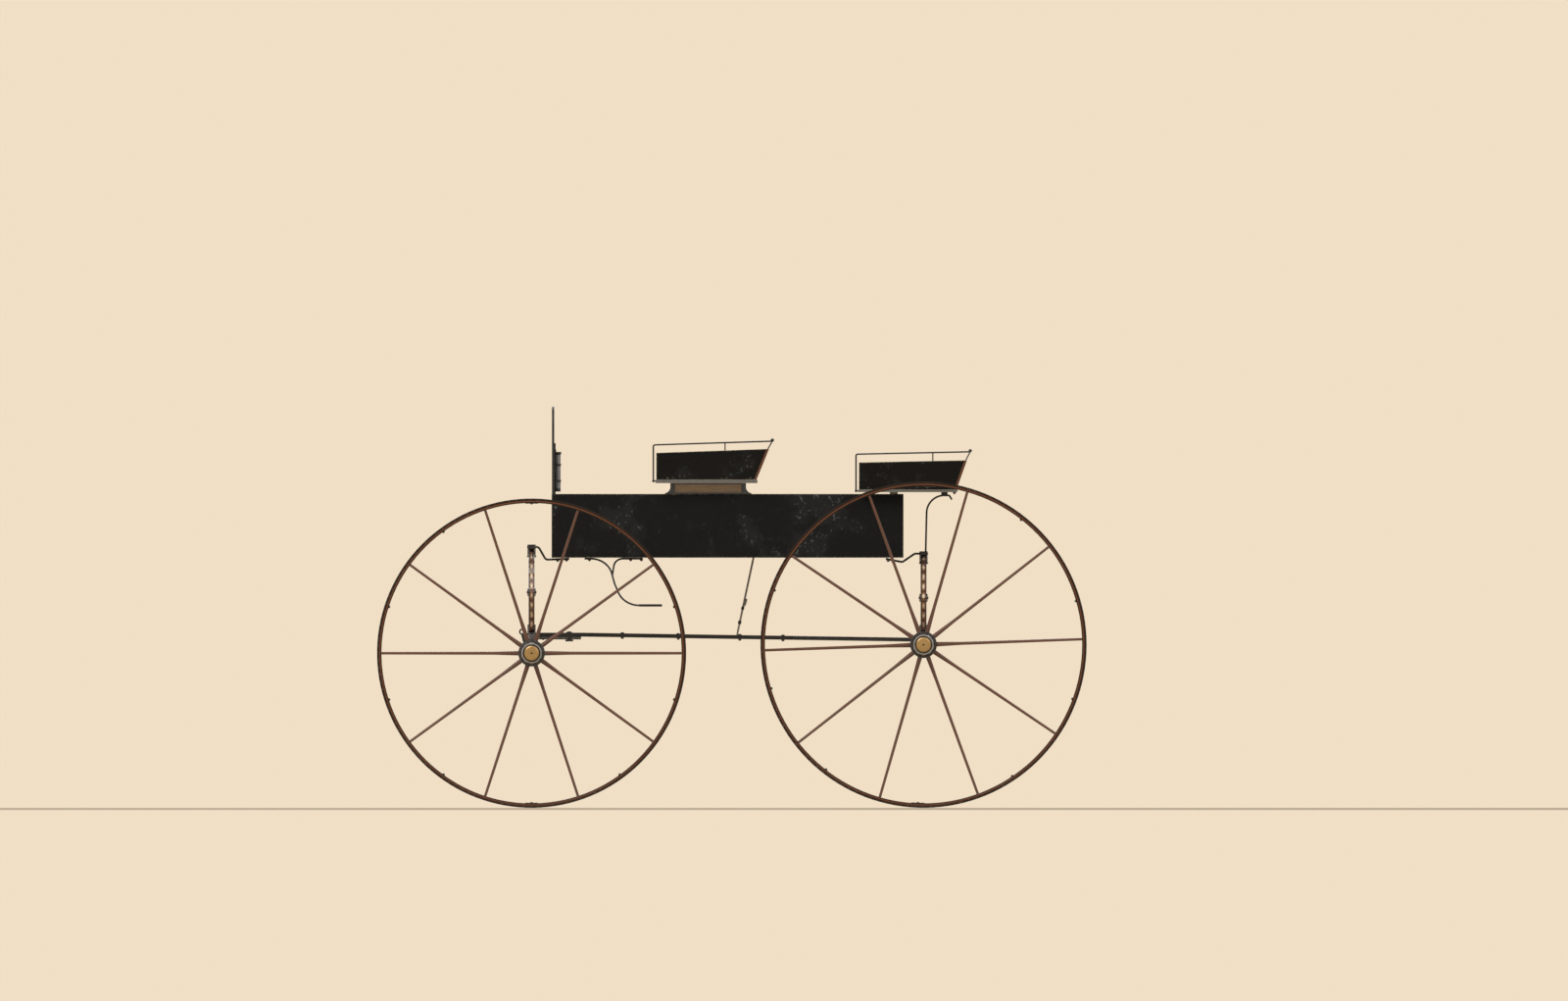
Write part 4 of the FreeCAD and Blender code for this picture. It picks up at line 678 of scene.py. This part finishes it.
LOOP_IRON_Y = 0.210
for end, x, z, facing in (("front", -0.75925, 0.9746, FORWARD), ("rear", 0.72745, 0.9496, BACKWARD)):
    at_spots(end + "_bar_nuts", nuts_on_spots, [(x, out * LOOP_IRON_Y, z) for out in SIDES.values()],
        "carriage", facing, radius=0.0046, height=0.005)


# Box body
# Poplar panels painted and varnished black, over an ash frame, with tongued floor boards nailed
# to the sills. The varnish is dulled in patches and the paint is rubbed through at the edges, in a
# pale line that runs on nearly unbroken and is partly a painted highlight along the edges.
BLACK = (0.0052, 0.0049, 0.0045, 1)
# The pale colour of the rubbed edges, which also serves as a painted highlight along them.
RUBBED_AND_HIGHLIT_BLACK = (0.20, 0.185, 0.13, 1)
BOARD_WIDTH = 0.092


def board_place(tree):
    """How many boards a point is across from the middle, and how near it is to a joint."""
    across = over(tree, one_axis(tree, place_on(tree), "Y"), BOARD_WIDTH)
    return across, unsigned(tree, minus(tree, maths(tree, "FRACT", across), 0.5))


def floor_colours(tree):
    """Oiled pine boards that run lengthwise, each with its own shade, and dark joints."""
    across, joint = board_place(tree)
    number = {"W": maths(tree, "FLOOR", across)}
    own = node(tree, "ShaderNodeTexWhiteNoise", number, noise_dimensions="1D").outputs["Value"]
    shade = mixed(tree, own, (0.13, 0.078, 0.042, 1), (0.20, 0.125, 0.07, 1))
    return mixed(tree, spread(tree, joint, 0.480, 0.492), shade, (0.018, 0.011, 0.007, 1))


def floor_joints(tree):
    """The joints as grooves in the floor's relief."""
    return spread(tree, board_place(tree)[1], 0.478, 0.492, 0.0, -3.0)


# The pale line along the body's edges is rubbed paint and painted highlight together.
body_black = coated("black_body_paint", BLACK, RUBBED_AND_HIGHLIT_BLACK, 0.48, wear=0.62, edge=0.009,
    patches=150.0, dust=0.02, dust_top=1.0, stretch=(3.0, 60.0, 50.0), grain=0.2, scuff=0.62,
    scuff_colour=(0.10, 0.11, 0.11, 1), shine=0.08)
floor_oiled = coated("oiled_floor_boards", floor_colours, (0.3, 0.2, 0.12, 1), 0.55, dust=0.4,
    dust_top=2.5, stretch=(2.5, 55.0, 55.0), grain=0.7, scuff=0.6, relief=0.0006, lift=floor_joints)
finish_nodes(body_black, "side_panel_left", "side_panel_right", "front_panel", "tail_panel")
finish_nodes(floor_oiled, "floor_boards")

nail_iron = coated("nail_iron", (0.08, 0.07, 0.06, 1), (0.3, 0.28, 0.25, 1), 0.5, edge=0.0006,
    dust=0.2, metal=0.6, relief=0.0001)
floor_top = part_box("floor_boards")[1].z
nail_spots = []
for row_x in (-0.62, -0.31, 0.0, 0.31, 0.595):
    for board in range(-4, 4):
        for inset in (0.022, 0.070):
            nail_y = board * BOARD_WIDTH + inset
            if abs(nail_y) < 0.355:
                nail_spots.append((row_x, nail_y, floor_top))
at_spots("floor_nails", heads_on_spots, nail_spots, "carriage", UP, radius=0.0035,
    height=0.0008, material=nail_iron)


# Dash
# Harness leather sewn over a round-cornered iron frame, with a row of stitches inside the frame
# on both faces. Two flat irons bolt it to the front panel.
leather_grain, given, result = new_group("leather_grain",
    [("Scale", "Float", 420.0), ("Crease Scale", "Float", 14.0)], [("Height", "Float"), ("Shade", "Float")])
place = place_on(leather_grain)
pebbles = {"Vector": place, "Scale": given.outputs["Scale"]}
cells = node(leather_grain, "ShaderNodeTexVoronoi", pebbles, feature="F1").outputs["Distance"]
fine = noise(leather_grain, place, times(leather_grain, given.outputs["Scale"], 2.2), 3.0)
creases = noise(leather_grain, place, given.outputs["Crease Scale"], 7.0, 0.7)
folded = spread(leather_grain, unsigned(leather_grain, minus(leather_grain, creases, 0.5)), 0.0, 0.03)
pebbled = minus(leather_grain, times(leather_grain, fine, 0.5), cells)
raised = plus(leather_grain, pebbled, times(leather_grain, folded, 0.5))
leather_grain.links.new(raised, result.inputs["Height"])
leather_grain.links.new(creases, result.inputs["Shade"])


def grain_height(scale):
    """The relief of leather, for a finish that lifts its surface."""
    def height(tree):
        return placed(tree, leather_grain, scale=scale).outputs["Height"]
    return height


def leather(name, colour, rubbed, roughness, scale=420.0, relief=0.0007, edge=0.003, wear=0.5, dust=0.04):
    """Blacked leather: pebbled grain, soft creases, rubbed brown where it is handled."""
    def paint(tree):
        shade = placed(tree, leather_grain, scale=scale).outputs["Shade"]
        return mixed(tree, spread(tree, shade, 0.45, 0.8, 0.0, 0.6), colour, rubbed)
    return coated(name, paint, rubbed, roughness, wear=wear, edge=edge, dust=dust, dust_top=2.5,
        grain=0.3, relief=relief, lift=grain_height(scale), shine=0.3)


dash_leather = leather("dash_leather", (0.010, 0.009, 0.008, 1), (0.042, 0.032, 0.025, 1), 0.52)
finish_nodes(dash_leather, "dash")
finish_nodes(iron_black, "dash_irons")

# Stitches along a line: short threads laid end to end, each a little proud of the leather.
sewn_line, given, result = new_tree("sewn_line", [
    ("Pitch", "Float", 0.006), ("Thread Length", "Float", 0.0042), ("Thread Radius", "Float", 0.0006),
    ("Material", "Material", None)])
line = node(sewn_line, "GeometryNodeMeshToCurve", {"Mesh": given.outputs["Geometry"]}).outputs[0]
pitched = {"Curve": line, "Length": given.outputs["Pitch"]}
spots = node(sewn_line, "GeometryNodeCurveToPoints", pitched, mode="LENGTH")
half_length = times(sewn_line, given.outputs["Thread Length"], 0.5)
thread = bead(sewn_line, given.outputs["Thread Radius"], half_length, 6, rings=5)
laid = {"Points": spots.outputs["Points"], "Instance": thread,
    "Rotation": towards(sewn_line, spots.outputs["Tangent"])}
threads = node(sewn_line, "GeometryNodeInstanceOnPoints", laid)
close_tree(sewn_line, given, result, threads.outputs[0])

waxed_thread = coated("waxed_thread", (0.36, 0.29, 0.19, 1), (0.5, 0.42, 0.3, 1), 0.6, wear=0.2,
    edge=0.0003, dust=0.1, relief=0.0001)


def stitches(name, lines, pitch, length, radius):
    """Rows of stitches on the carriage, along lines of points."""
    base = bpy.data.meshes.new(name + "_lines")
    edges = []
    first = 0
    for line in lines:
        edges += [(first + step, first + step + 1) for step in range(len(line) - 1)]
        first += len(line)
    base.from_pydata([spot for line in lines for spot in line], edges, [])
    piece = made_by_nodes(name, sewn_line, base, pitch=pitch, thread_length=length, thread_radius=radius,
        material=waxed_thread)
    carried(piece, "carriage")


dash_low, dash_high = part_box("dash")
DASH_CORNER, SEAM_INSET, SEAM_DEPTH = 0.070, 0.017, 0.0021


def dash_loop(x):
    """A line inside the dash frame, round its upper corners, at one face of the leather."""
    half_width = dash_high.y - SEAM_INSET
    bottom, top = dash_low.z + SEAM_INSET, dash_high.z - SEAM_INSET
    corner = DASH_CORNER - SEAM_INSET
    points = [(x, -half_width, bottom), (x, -half_width, top - corner)]
    for step in range(1, 9):
        turn = math.pi / 2 * step / 8
        inward, down = corner * (1 - math.cos(turn)), corner * (1 - math.sin(turn))
        points.append((x, -half_width + inward, top - down))
    points += [(x, -y, z) for x, y, z in reversed(points)]
    points.append(points[0])
    return points


dash_x = middle_x("dash")
stitches("dash_stitches", [dash_loop(dash_x - SEAM_DEPTH), dash_loop(dash_x + SEAM_DEPTH)],
    0.0065, 0.0048, 0.0006)
DASH_IRON_Y, DASH_IRON_BACK = 0.235, -0.6585
dash_iron_spots = [(DASH_IRON_BACK, out * DASH_IRON_Y, z) for out in SIDES.values()
    for z in (1.045, 1.105, 1.155, 1.215, 1.275, 1.335)]
at_spots("dash_iron_rivets", heads_on_spots, dash_iron_spots, "carriage", BACKWARD,
    radius=0.0048, height=0.0026)


# Whip socket
# A turned tube with bands, held to the dash by two lugs. The tube is grey japanned iron and the
# bands are darker.
SOCKET_MIDDLE = (-0.65015, 0.300, 0)


def socket_colours(tree):
    """Grey with faint upright streaks, and dark on the bands and at the foot."""
    bands = spread(tree, from_line(tree, SOCKET_MIDDLE, (1, 1, 0)), 0.0109, 0.0114)
    foot = spread(tree, one_axis(tree, place_on(tree), "Z"), 1.196, 1.190)
    drawn_out = vectors(tree, "MULTIPLY", place_on(tree), (300, 300, 20)).outputs[0]
    tube = mixed(tree, noise(tree, drawn_out, 1.0), (0.27, 0.255, 0.24, 1), (0.40, 0.385, 0.365, 1))
    return mixed(tree, maths(tree, "MAXIMUM", bands, foot), tube, (0.085, 0.077, 0.070, 1))


socket_grey = coated("grey_socket_japan", socket_colours, (0.42, 0.40, 0.37, 1), 0.4, wear=0.6,
    edge=0.0012, patches=160.0, dust=0.03, metal=0.2, grain=0.4, scuff=0.5,
    scuff_colour=(0.05, 0.045, 0.042, 1))
finish_nodes(socket_grey, "whip_socket")


# Seats
# Each seat lifts off: a board, a flared shell of thin panels screwed to it and a round rail on
# spindles. The front one stands on two risers, varnished brown between black posts.
def riser_colours(tree):
    """Brown panels inside black posts and rails."""
    x, z = one_axis(tree, place_on(tree), "X"), one_axis(tree, place_on(tree), "Z")
    panel = times(tree, spread(tree, x, -0.2136, -0.2124), spread(tree, x, 0.0366, 0.0354))
    panel = times(tree, panel, spread(tree, z, 1.1772, 1.1780))
    panel = times(tree, panel, spread(tree, z, 1.2087, 1.2079))
    return mixed(tree, panel, (0.016, 0.012, 0.009, 1), (0.225, 0.135, 0.055, 1))


riser_brown = coated("brown_riser_varnish", riser_colours, (0.3, 0.2, 0.12, 1), 0.36, wear=0.4,
    edge=0.0015, dust=0.05, dust_top=2.0, stretch=(3.0, 60.0, 60.0), grain=0.6, coat=0.4, relief=0.0003)
board_grey = coated("grey_board_paint", (0.095, 0.088, 0.072, 1), (0.25, 0.22, 0.17, 1), 0.5, wear=0.7,
    edge=0.003, patches=120.0, dust=0.05, dust_top=2.0, stretch=(3.0, 60.0, 60.0), grain=0.6, scuff=0.8,
    scuff_colour=(0.035, 0.033, 0.028, 1), relief=0.0003)
finish_nodes(riser_brown, "front_seat_risers")
finish_nodes(board_grey, "front_seat_board", "rear_seat_board", "rear_seat_bearers")


def seat_colours(foot_x, foot_z, lean):
    """Black, with a reddish brown strip on the raked end of the back panel."""
    def paint(tree):
        raked = times(tree, minus(tree, one_axis(tree, place_on(tree), "Z"), foot_z), lean)
        strip_x = plus(tree, foot_x - 0.0105, raked)
        behind = spread(tree, minus(tree, one_axis(tree, place_on(tree), "X"), strip_x), 0.0, 0.001)
        return mixed(tree, times(tree, behind, sideways(tree)), BLACK, (0.105, 0.048, 0.028, 1))
    return paint


# For each seat: the foot of its back panel and how far that leans back as it rises.
SEAT_BACKS = {"front": (0.09275, 1.226, 0.4087), "rear": (0.84015, 1.1893, 0.3578)}
for seat, (foot_x, foot_z, lean) in SEAT_BACKS.items():
    # As on the body, the pale edge line is rubbed paint and painted highlight together.
    shell_black = coated(seat + "_seat_paint", seat_colours(foot_x, foot_z, lean), RUBBED_AND_HIGHLIT_BLACK, 0.48,
        wear=0.62, edge=0.008, patches=160.0, dust=0.02, dust_top=1.5, stretch=(4.0, 50.0, 40.0),
        grain=0.2, scuff=0.75, scuff_colour=(0.11, 0.12, 0.12, 1), shine=0.08)
    finish_nodes(shell_black, seat + "_seat_panels")
    finish_nodes(iron_black, seat + "_seat_rail")

# Screws fix the shells to the boards, with their heads filled and painted over.
SHELL_FACE_Y = 0.4413
SCREW_ROWS = (((-0.24, -0.13, -0.02, 0.07), 1.2325), ((0.51, 0.62, 0.73, 0.82), 1.1960))
for side, out in SIDES.items():
    screw_spots = [(x, out * SHELL_FACE_Y, z) for row, z in SCREW_ROWS for x in row]
    at_spots("shell_screws_" + side, heads_on_spots, screw_spots, "carriage", (0, out, 0),
        radius=0.0032, height=0.0014, material=shell_black)


# Seat cushions
# Black leather stuffed with curled hair, sewn with a welt round the top and the bottom and
# tied down with rows of leather buttons, so the top swells between them.
cushion_leather = leather("cushion_leather", (0.0085, 0.0075, 0.0070, 1), (0.030, 0.022, 0.017, 1), 0.44,
    scale=320.0, relief=0.0009, edge=0.004, wear=0.3, dust=0.015)


PRESSURE, LAST_MOMENT, FURTHEST_OUT = 4.0, 20, 0.016
DRAWN_IN, VOXEL = 0.005, 0.0065
WELT_RADIUS, WELT_SUNK = 0.0026, 0.0022


def drawn_in_copy(node_name, name):
    """A merged copy of a part's mesh, drawn in by a few millimetres on every side."""
    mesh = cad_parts[node_name].data.copy()
    work = bmesh.new()
    work.from_mesh(mesh)
    bmesh.ops.remove_doubles(work, verts=work.verts, dist=0.00002)
    low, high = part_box(node_name)
    middle, half = (low + high) / 2, (high - low) / 2
    for vert in work.verts:
        for axis in range(3):
            ratio = (half[axis] - DRAWN_IN) / half[axis]
            vert.co[axis] = middle[axis] + (vert.co[axis] - middle[axis]) * ratio
    work.to_mesh(mesh)
    work.free()
    mesh.materials.clear()
    mesh.materials.append(cushion_leather)
    return link(bpy.data.objects.new(name, mesh))


def applied(piece):
    """The piece's modifiers made real."""
    mesh = real_mesh(piece)
    piece.modifiers.clear()
    piece.data = mesh


def blown_up(cushion):
    """The cushion swollen by cloth simulation, with no point moved further than a limit."""
    start = [vert.co.copy() for vert in cushion.data.vertices]
    cloth = cushion.modifiers.new("cloth", "CLOTH")
    cloth.settings.use_pressure = True
    cloth.settings.uniform_pressure_force = PRESSURE
    cloth.settings.effector_weights.gravity = 0.0
    for moment in range(1, LAST_MOMENT + 1):
        scene.frame_set(moment)
    applied(cushion)
    scene.frame_set(1)
    for vert, before in zip(cushion.data.vertices, start):
        move = vert.co - before
        if move.length > FURTHEST_OUT:
            vert.co = before + move.normalized() * FURTHEST_OUT


def tied_down(mesh, low, high, spots):
    """The top pulled in at each button, and all of it kept inside the cushion's box."""
    waist = (low.z + high.z) / 2
    for vert in mesh.vertices:
        if vert.co.z > waist:
            near = min((vert.co.x - x) ** 2 + (vert.co.y - y) ** 2 for x, y in spots) ** 0.5
            pull = 0.016 * math.exp(-(near / 0.020) ** 2) + 0.006 * math.exp(-(near / 0.05) ** 2)
            vert.co.z -= pull * min(1.0, (vert.co.z - waist) / 0.02)
        vert.co.x = min(max(vert.co.x, low.x + 0.0005), high.x - 0.0005)
        vert.co.y = min(max(vert.co.y, low.y + 0.0005), high.y - 0.0005)
        vert.co.z = max(vert.co.z, low.z + 0.0004)


def squared_round(turn, power):
    """A point of a loop, one from its middle: a circle at power one, squarer as that falls."""
    return [math.copysign(abs(reach) ** power, reach) for reach in (math.cos(turn), math.sin(turn))]


def welt_path(surface, low, high, level):
    """A level line round the cushion, a little inside its skin."""
    middle = (low + high) / 2
    path = []
    for step in range(240):
        x, y = squared_round(2 * math.pi * step / 240, 2 / 7)
        outside = Vector((middle.x + x * (high.x - low.x) * 0.75, middle.y + y * (high.y - low.y) * 0.75,
            level))
        inward = Vector((middle.x - outside.x, middle.y - outside.y, 0)).normalized()
        hit = surface.ray_cast(outside, inward)[0]
        if hit is not None:
            path.append(hit + inward * WELT_SUNK)
    return path


def smooth_faces(mesh):
    """Shading that runs over from face to face."""
    for face in mesh.polygons:
        face.use_smooth = True


def wire(name, lines, radius, material, fineness=4, closed=True):
    """Round wire or welting on the carriage, along lines of points."""
    curve = bpy.data.curves.new(name + "_lines", "CURVE")
    curve.dimensions = "3D"
    curve.bevel_depth = radius
    curve.bevel_resolution = fineness
    curve.use_fill_caps = True
    for points in lines:
        spline = curve.splines.new("POLY")
        spline.points.add(len(points) - 1)
        for number, spot in enumerate(points):
            spline.points[number].co = (*spot, 1.0)
        spline.use_cyclic_u = closed
    carrier = link(bpy.data.objects.new(name + "_carrier", curve))
    mesh = real_mesh(carrier)
    bpy.data.objects.remove(carrier)
    mesh.materials.clear()
    mesh.materials.append(material)
    smooth_faces(mesh)
    carried(link(bpy.data.objects.new(name, mesh)), "carriage")


BUTTON_ROWS, BUTTON_COLUMNS = 3, 7
for seat in ("front", "rear"):
    solid = seat + "_seat_cushion"
    low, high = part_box(solid)
    cushion = drawn_in_copy(solid, seat + "_cushion")
    remesh = cushion.modifiers.new("remesh", "REMESH")
    remesh.mode = "VOXEL"
    remesh.voxel_size = VOXEL
    applied(cushion)
    blown_up(cushion)
    smooth = cushion.modifiers.new("smooth", "SMOOTH")
    smooth.factor = 0.5
    smooth.iterations = 6
    subdivide = cushion.modifiers.new("subdivide", "SUBSURF")
    subdivide.levels = subdivide.render_levels = 1
    applied(cushion)
    spots = []
    for row in range(BUTTON_ROWS):
        x = low.x + (high.x - low.x) * (row + 0.5) / BUTTON_ROWS
        for column in range(BUTTON_COLUMNS):
            spots.append((x, low.y + (high.y - low.y) * (column + 0.5) / BUTTON_COLUMNS))
    tied_down(cushion.data, low, high, spots)
    smooth_faces(cushion.data)
    carried(cushion, "carriage")
    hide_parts(solid)
    surface = BVHTree.FromPolygons([vert.co for vert in cushion.data.vertices],
        [tuple(face.vertices) for face in cushion.data.polygons])
    welts = [welt_path(surface, low, high, level) for level in (high.z - 0.016, low.z + 0.010)]
    wire(seat + "_cushion_welts", welts, WELT_RADIUS, cushion_leather, fineness=3)
    tops = []
    for x, y in spots:
        hit = surface.ray_cast(Vector((x, y, high.z + 0.1)), Vector(DOWN))[0]
        tops.append((x, y, hit.z + 0.0005))
    at_spots(seat + "_cushion_buttons", heads_on_spots, tops, "carriage", UP,
        radius=0.009, height=0.0045, material=cushion_leather)


# Body loops, rear seat irons and steps
# Round iron forged in curves: loops from the spring tops to the body, curled irons up to the
# rear seat, and a step each side on two legs. Nuts hold their flattened ends to the body.
step_black = coated("japanned_step_iron", (0.014, 0.012, 0.011, 1), (0.20, 0.18, 0.15, 1), 0.42,
    wear=0.4, edge=0.001, patches=110.0, dust=0.04, scuff=0.5, scuff_colour=(0.16, 0.15, 0.14, 1),
    metal=0.2, relief=0.00015, shine=0.25)
finish_nodes(iron_black, "front_body_loops", "rear_body_loops", "rear_seat_irons")
finish_nodes(step_black, "step_left", "step_right")

LOOP_FEET = ((-0.651, 0.9248), (-0.618, 0.9259), (0.584, 0.9246), (0.602, 0.9211))
loop_spots = [(x, out * LOOP_IRON_Y, z) for out in SIDES.values() for x, z in LOOP_FEET]
at_spots("loop_nuts", nuts_on_spots, loop_spots, "carriage", DOWN,
    radius=0.0052, height=0.0045)
step_root_spots = [(x, out * 0.340, 0.9272) for out in SIDES.values() for x in (-0.532, -0.378, -0.338)]
at_spots("step_iron_nuts", nuts_on_spots, step_root_spots, "carriage", DOWN,
    radius=0.005, height=0.0045)
at_spots("rear_seat_board_nuts", nuts_on_spots,
    [(0.832, out * LOOP_IRON_Y, 1.1793) for out in SIDES.values()],
    "carriage", DOWN, radius=0.0052, height=0.006)

# Studs cast in the treads keep a wet boot from slipping.
TREAD_TOP = 0.7577
STUD_STEP_X, STUD_STEP_Y, STUD_SHIFT = 0.009, 0.0095, 0.0022
for side, out in SIDES.items():
    stud_spots = []
    for row in range(9):
        shift = STUD_SHIFT if row % 2 else -STUD_SHIFT
        for column in range(-2, 3):
            y = 0.423 + column * STUD_STEP_Y + shift
            stud_spots.append((-0.3395 + row * STUD_STEP_X, out * y, TREAD_TOP))
    at_spots("tread_studs_" + side, heads_on_spots, stud_spots, "carriage", UP,
        radius=0.0028, height=0.0016, material=step_black)


# Check strap
# Two layers of harness leather run from the body to the perch, sewn together down both edges.
# An iron buckle closes the strap, and two leather keepers hold its layers flat.
STRAP_TOP, STRAP_FOOT = Vector((0.08115, 0, 0.9343)), Vector((0.02015, 0, 0.650))
STRAP_HALF_BREADTH, STRAP_HALF_DEPTH, KEEPER_SUNK = 0.0125, 0.0035, 0.0003
strap_run = (STRAP_TOP - STRAP_FOOT).normalized()
strap_back = Vector((strap_run.z, 0, -strap_run.x))


def strap_colours(tree):
    """Black grain side in front, and the grey flesh side of the second layer behind."""
    from_foot = vectors(tree, "SUBTRACT", place_on(tree), STRAP_FOOT).outputs[0]
    back = vectors(tree, "DOT_PRODUCT", from_foot, strap_back).outputs["Value"]
    layer = spread(tree, back, -0.0002, 0.0004)
    return mixed(tree, layer, (0.020, 0.014, 0.010, 1), (0.27, 0.235, 0.20, 1))


strap_leather = coated("strap_leather", strap_colours, (0.14, 0.095, 0.06, 1), 0.55, edge=0.0015,
    dust=0.1, grain=0.4, relief=0.0006, lift=grain_height(380.0))
finish_nodes(strap_leather, "check_strap")


def on_strap(up, across, back):
    """A point by its height up the strap's run, its place across it and behind its middle."""
    return STRAP_FOOT + strap_run * up + Vector((0, across, 0)) + strap_back * back


def buckle_ring(up, half_width, half_length, back):
    """A rounded frame that lies flat on the strap."""
    points = []
    for step in range(32):
        across, along = squared_round(2 * math.pi * step / 32, 0.5)
        points.append(on_strap(up + along * half_length, across * half_width, back))
    return points


keeper_leather = leather("keeper_leather", (0.018, 0.013, 0.010, 1), (0.10, 0.07, 0.045, 1), 0.5,
    edge=0.001)


def keeper(name, up, half_length, thickness):
    """A closed leather band round both layers of the strap, sunk a little into them."""
    work = bmesh.new()
    loops = []
    for proud, way in ((thickness, -1), (thickness, 1), (-KEEPER_SUNK, 1), (-KEEPER_SUNK, -1)):
        loop = []
        for step in range(24):
            across, back = squared_round(2 * math.pi * step / 24, 0.35)
            loop.append(work.verts.new(on_strap(up + way * half_length,
                across * (STRAP_HALF_BREADTH + proud), back * (STRAP_HALF_DEPTH + proud))))
        loops.append(loop)
    skin(work, loops, closed=True)
    bmesh.ops.recalc_face_normals(work, faces=work.faces)
    carried(piece_from(work, name, keeper_leather), "carriage")


wire("strap_buckle", [buckle_ring(0.121, 0.0165, 0.0125, 0.0058)], 0.0022, iron_bright)
tongue = [on_strap(up, 0, back) for up, back in
    ((0.108, 0.0052), (0.113, 0.0075), (0.122, 0.0086), (0.1355, 0.0084))]
wire("strap_buckle_tongue", [tongue], 0.0015, iron_bright, closed=False)
keeper("strap_upper_keeper", 0.098, 0.006, 0.0022)
keeper("strap_lower_keeper", 0.044, 0.0065, 0.0026)
seams = [[on_strap(0.012 + 0.268 * step / 8, across, back) for step in range(9)]
    for across in (-0.0095, 0.0095) for back in (-0.0036, 0.0036)]
stitches("strap_stitches", seams, 0.0052, 0.0038, 0.0005)


# Floor, light and camera
# A thin pale slab under the wheels and soft light from all round. The camera looks square on
# to the left side, without perspective.
FLOOR_LENGTH, FLOOR_WIDTH, FLOOR_SET_BACK, FLOOR_THICKNESS = 60.0, 38.5, 10.75, 0.008
floor = bmesh.new()
bmesh.ops.create_cube(floor, size=1.0)
for vert in floor.verts:
    vert.co = Vector((vert.co.x * FLOOR_LENGTH, vert.co.y * FLOOR_WIDTH + FLOOR_SET_BACK,
        (vert.co.z - 0.5) * FLOOR_THICKNESS))
floor_paint = bpy.data.materials.new("pale_floor_paint")
floor_paint.use_nodes = True
tree = floor_paint.node_tree
specks = spread(tree, noise(tree, place_on(tree), 3.0, 8.0), 0.3, 0.7, 0.0, 0.3)
shader = tree.nodes["Principled BSDF"]
tree.links.new(mixed(tree, specks, (0.66, 0.555, 0.425, 1), (0.62, 0.515, 0.385, 1)),
    shader.inputs["Base Color"])
shader.inputs["Roughness"].default_value = 0.8
pale_floor = piece_from(floor, "pale_floor", floor_paint)

world = bpy.data.worlds.new("soft_room")
scene.world = world
world.use_nodes = True
tree = world.node_tree
tree.nodes.clear()
seen = node(tree, "ShaderNodeBackground", {"Color": (0.875, 0.738, 0.560, 1), "Strength": 1.0})
lit = node(tree, "ShaderNodeBackground", {"Color": (1.0, 0.97, 0.93, 1), "Strength": 0.7})
camera_ray = node(tree, "ShaderNodeLightPath").outputs["Is Camera Ray"]
room = node(tree, "ShaderNodeMixShader", {0: camera_ray, 1: lit.outputs[0], 2: seen.outputs[0]})
node(tree, "ShaderNodeOutputWorld", {"Surface": room.outputs[0]})


def soft_light(name, place, aim_height, power):
    """A round lamp, 6 m wide, that shines on the middle of the vehicle."""
    lamp = bpy.data.lights.new(name, "AREA")
    lamp.shape = "DISK"
    lamp.size = 6.0
    lamp.energy = power
    holder = link(bpy.data.objects.new(name, lamp))
    holder.location = place
    aim = Vector((0, 0, aim_height)) - Vector(place)
    holder.rotation_euler = aim.to_track_quat("-Z", "Y").to_euler()


soft_light("key_light", (-5.0, -8.5, 8.5), 0.8, 950.0)
soft_light("fill_light", (7.0, -6.0, 7.0), 0.8, 350.0)
soft_light("back_light", (1.0, 8.5, 7.5), 0.9, 560.0)
scene.view_settings.view_transform = "Standard"

METRES_PER_PIXEL = 0.0036626
PICTURE_WIDTH, MIDDLE_COLUMN, MIDDLE_ROW = 1600, 800, 510.5
FRONT_HUB_COLUMN, GROUND_ROW = 542.45, 824
camera_data = bpy.data.cameras.new("side_camera")
camera_data.type = "ORTHO"
camera_data.ortho_scale = PICTURE_WIDTH * METRES_PER_PIXEL
camera = link(bpy.data.objects.new("side_camera", camera_data))
camera.location = (HUB_X["front"] + (MIDDLE_COLUMN - FRONT_HUB_COLUMN) * METRES_PER_PIXEL, -9.0,
    (GROUND_ROW - MIDDLE_ROW) * METRES_PER_PIXEL)
camera.rotation_euler = (math.radians(90), 0, 0)
scene.camera = camera
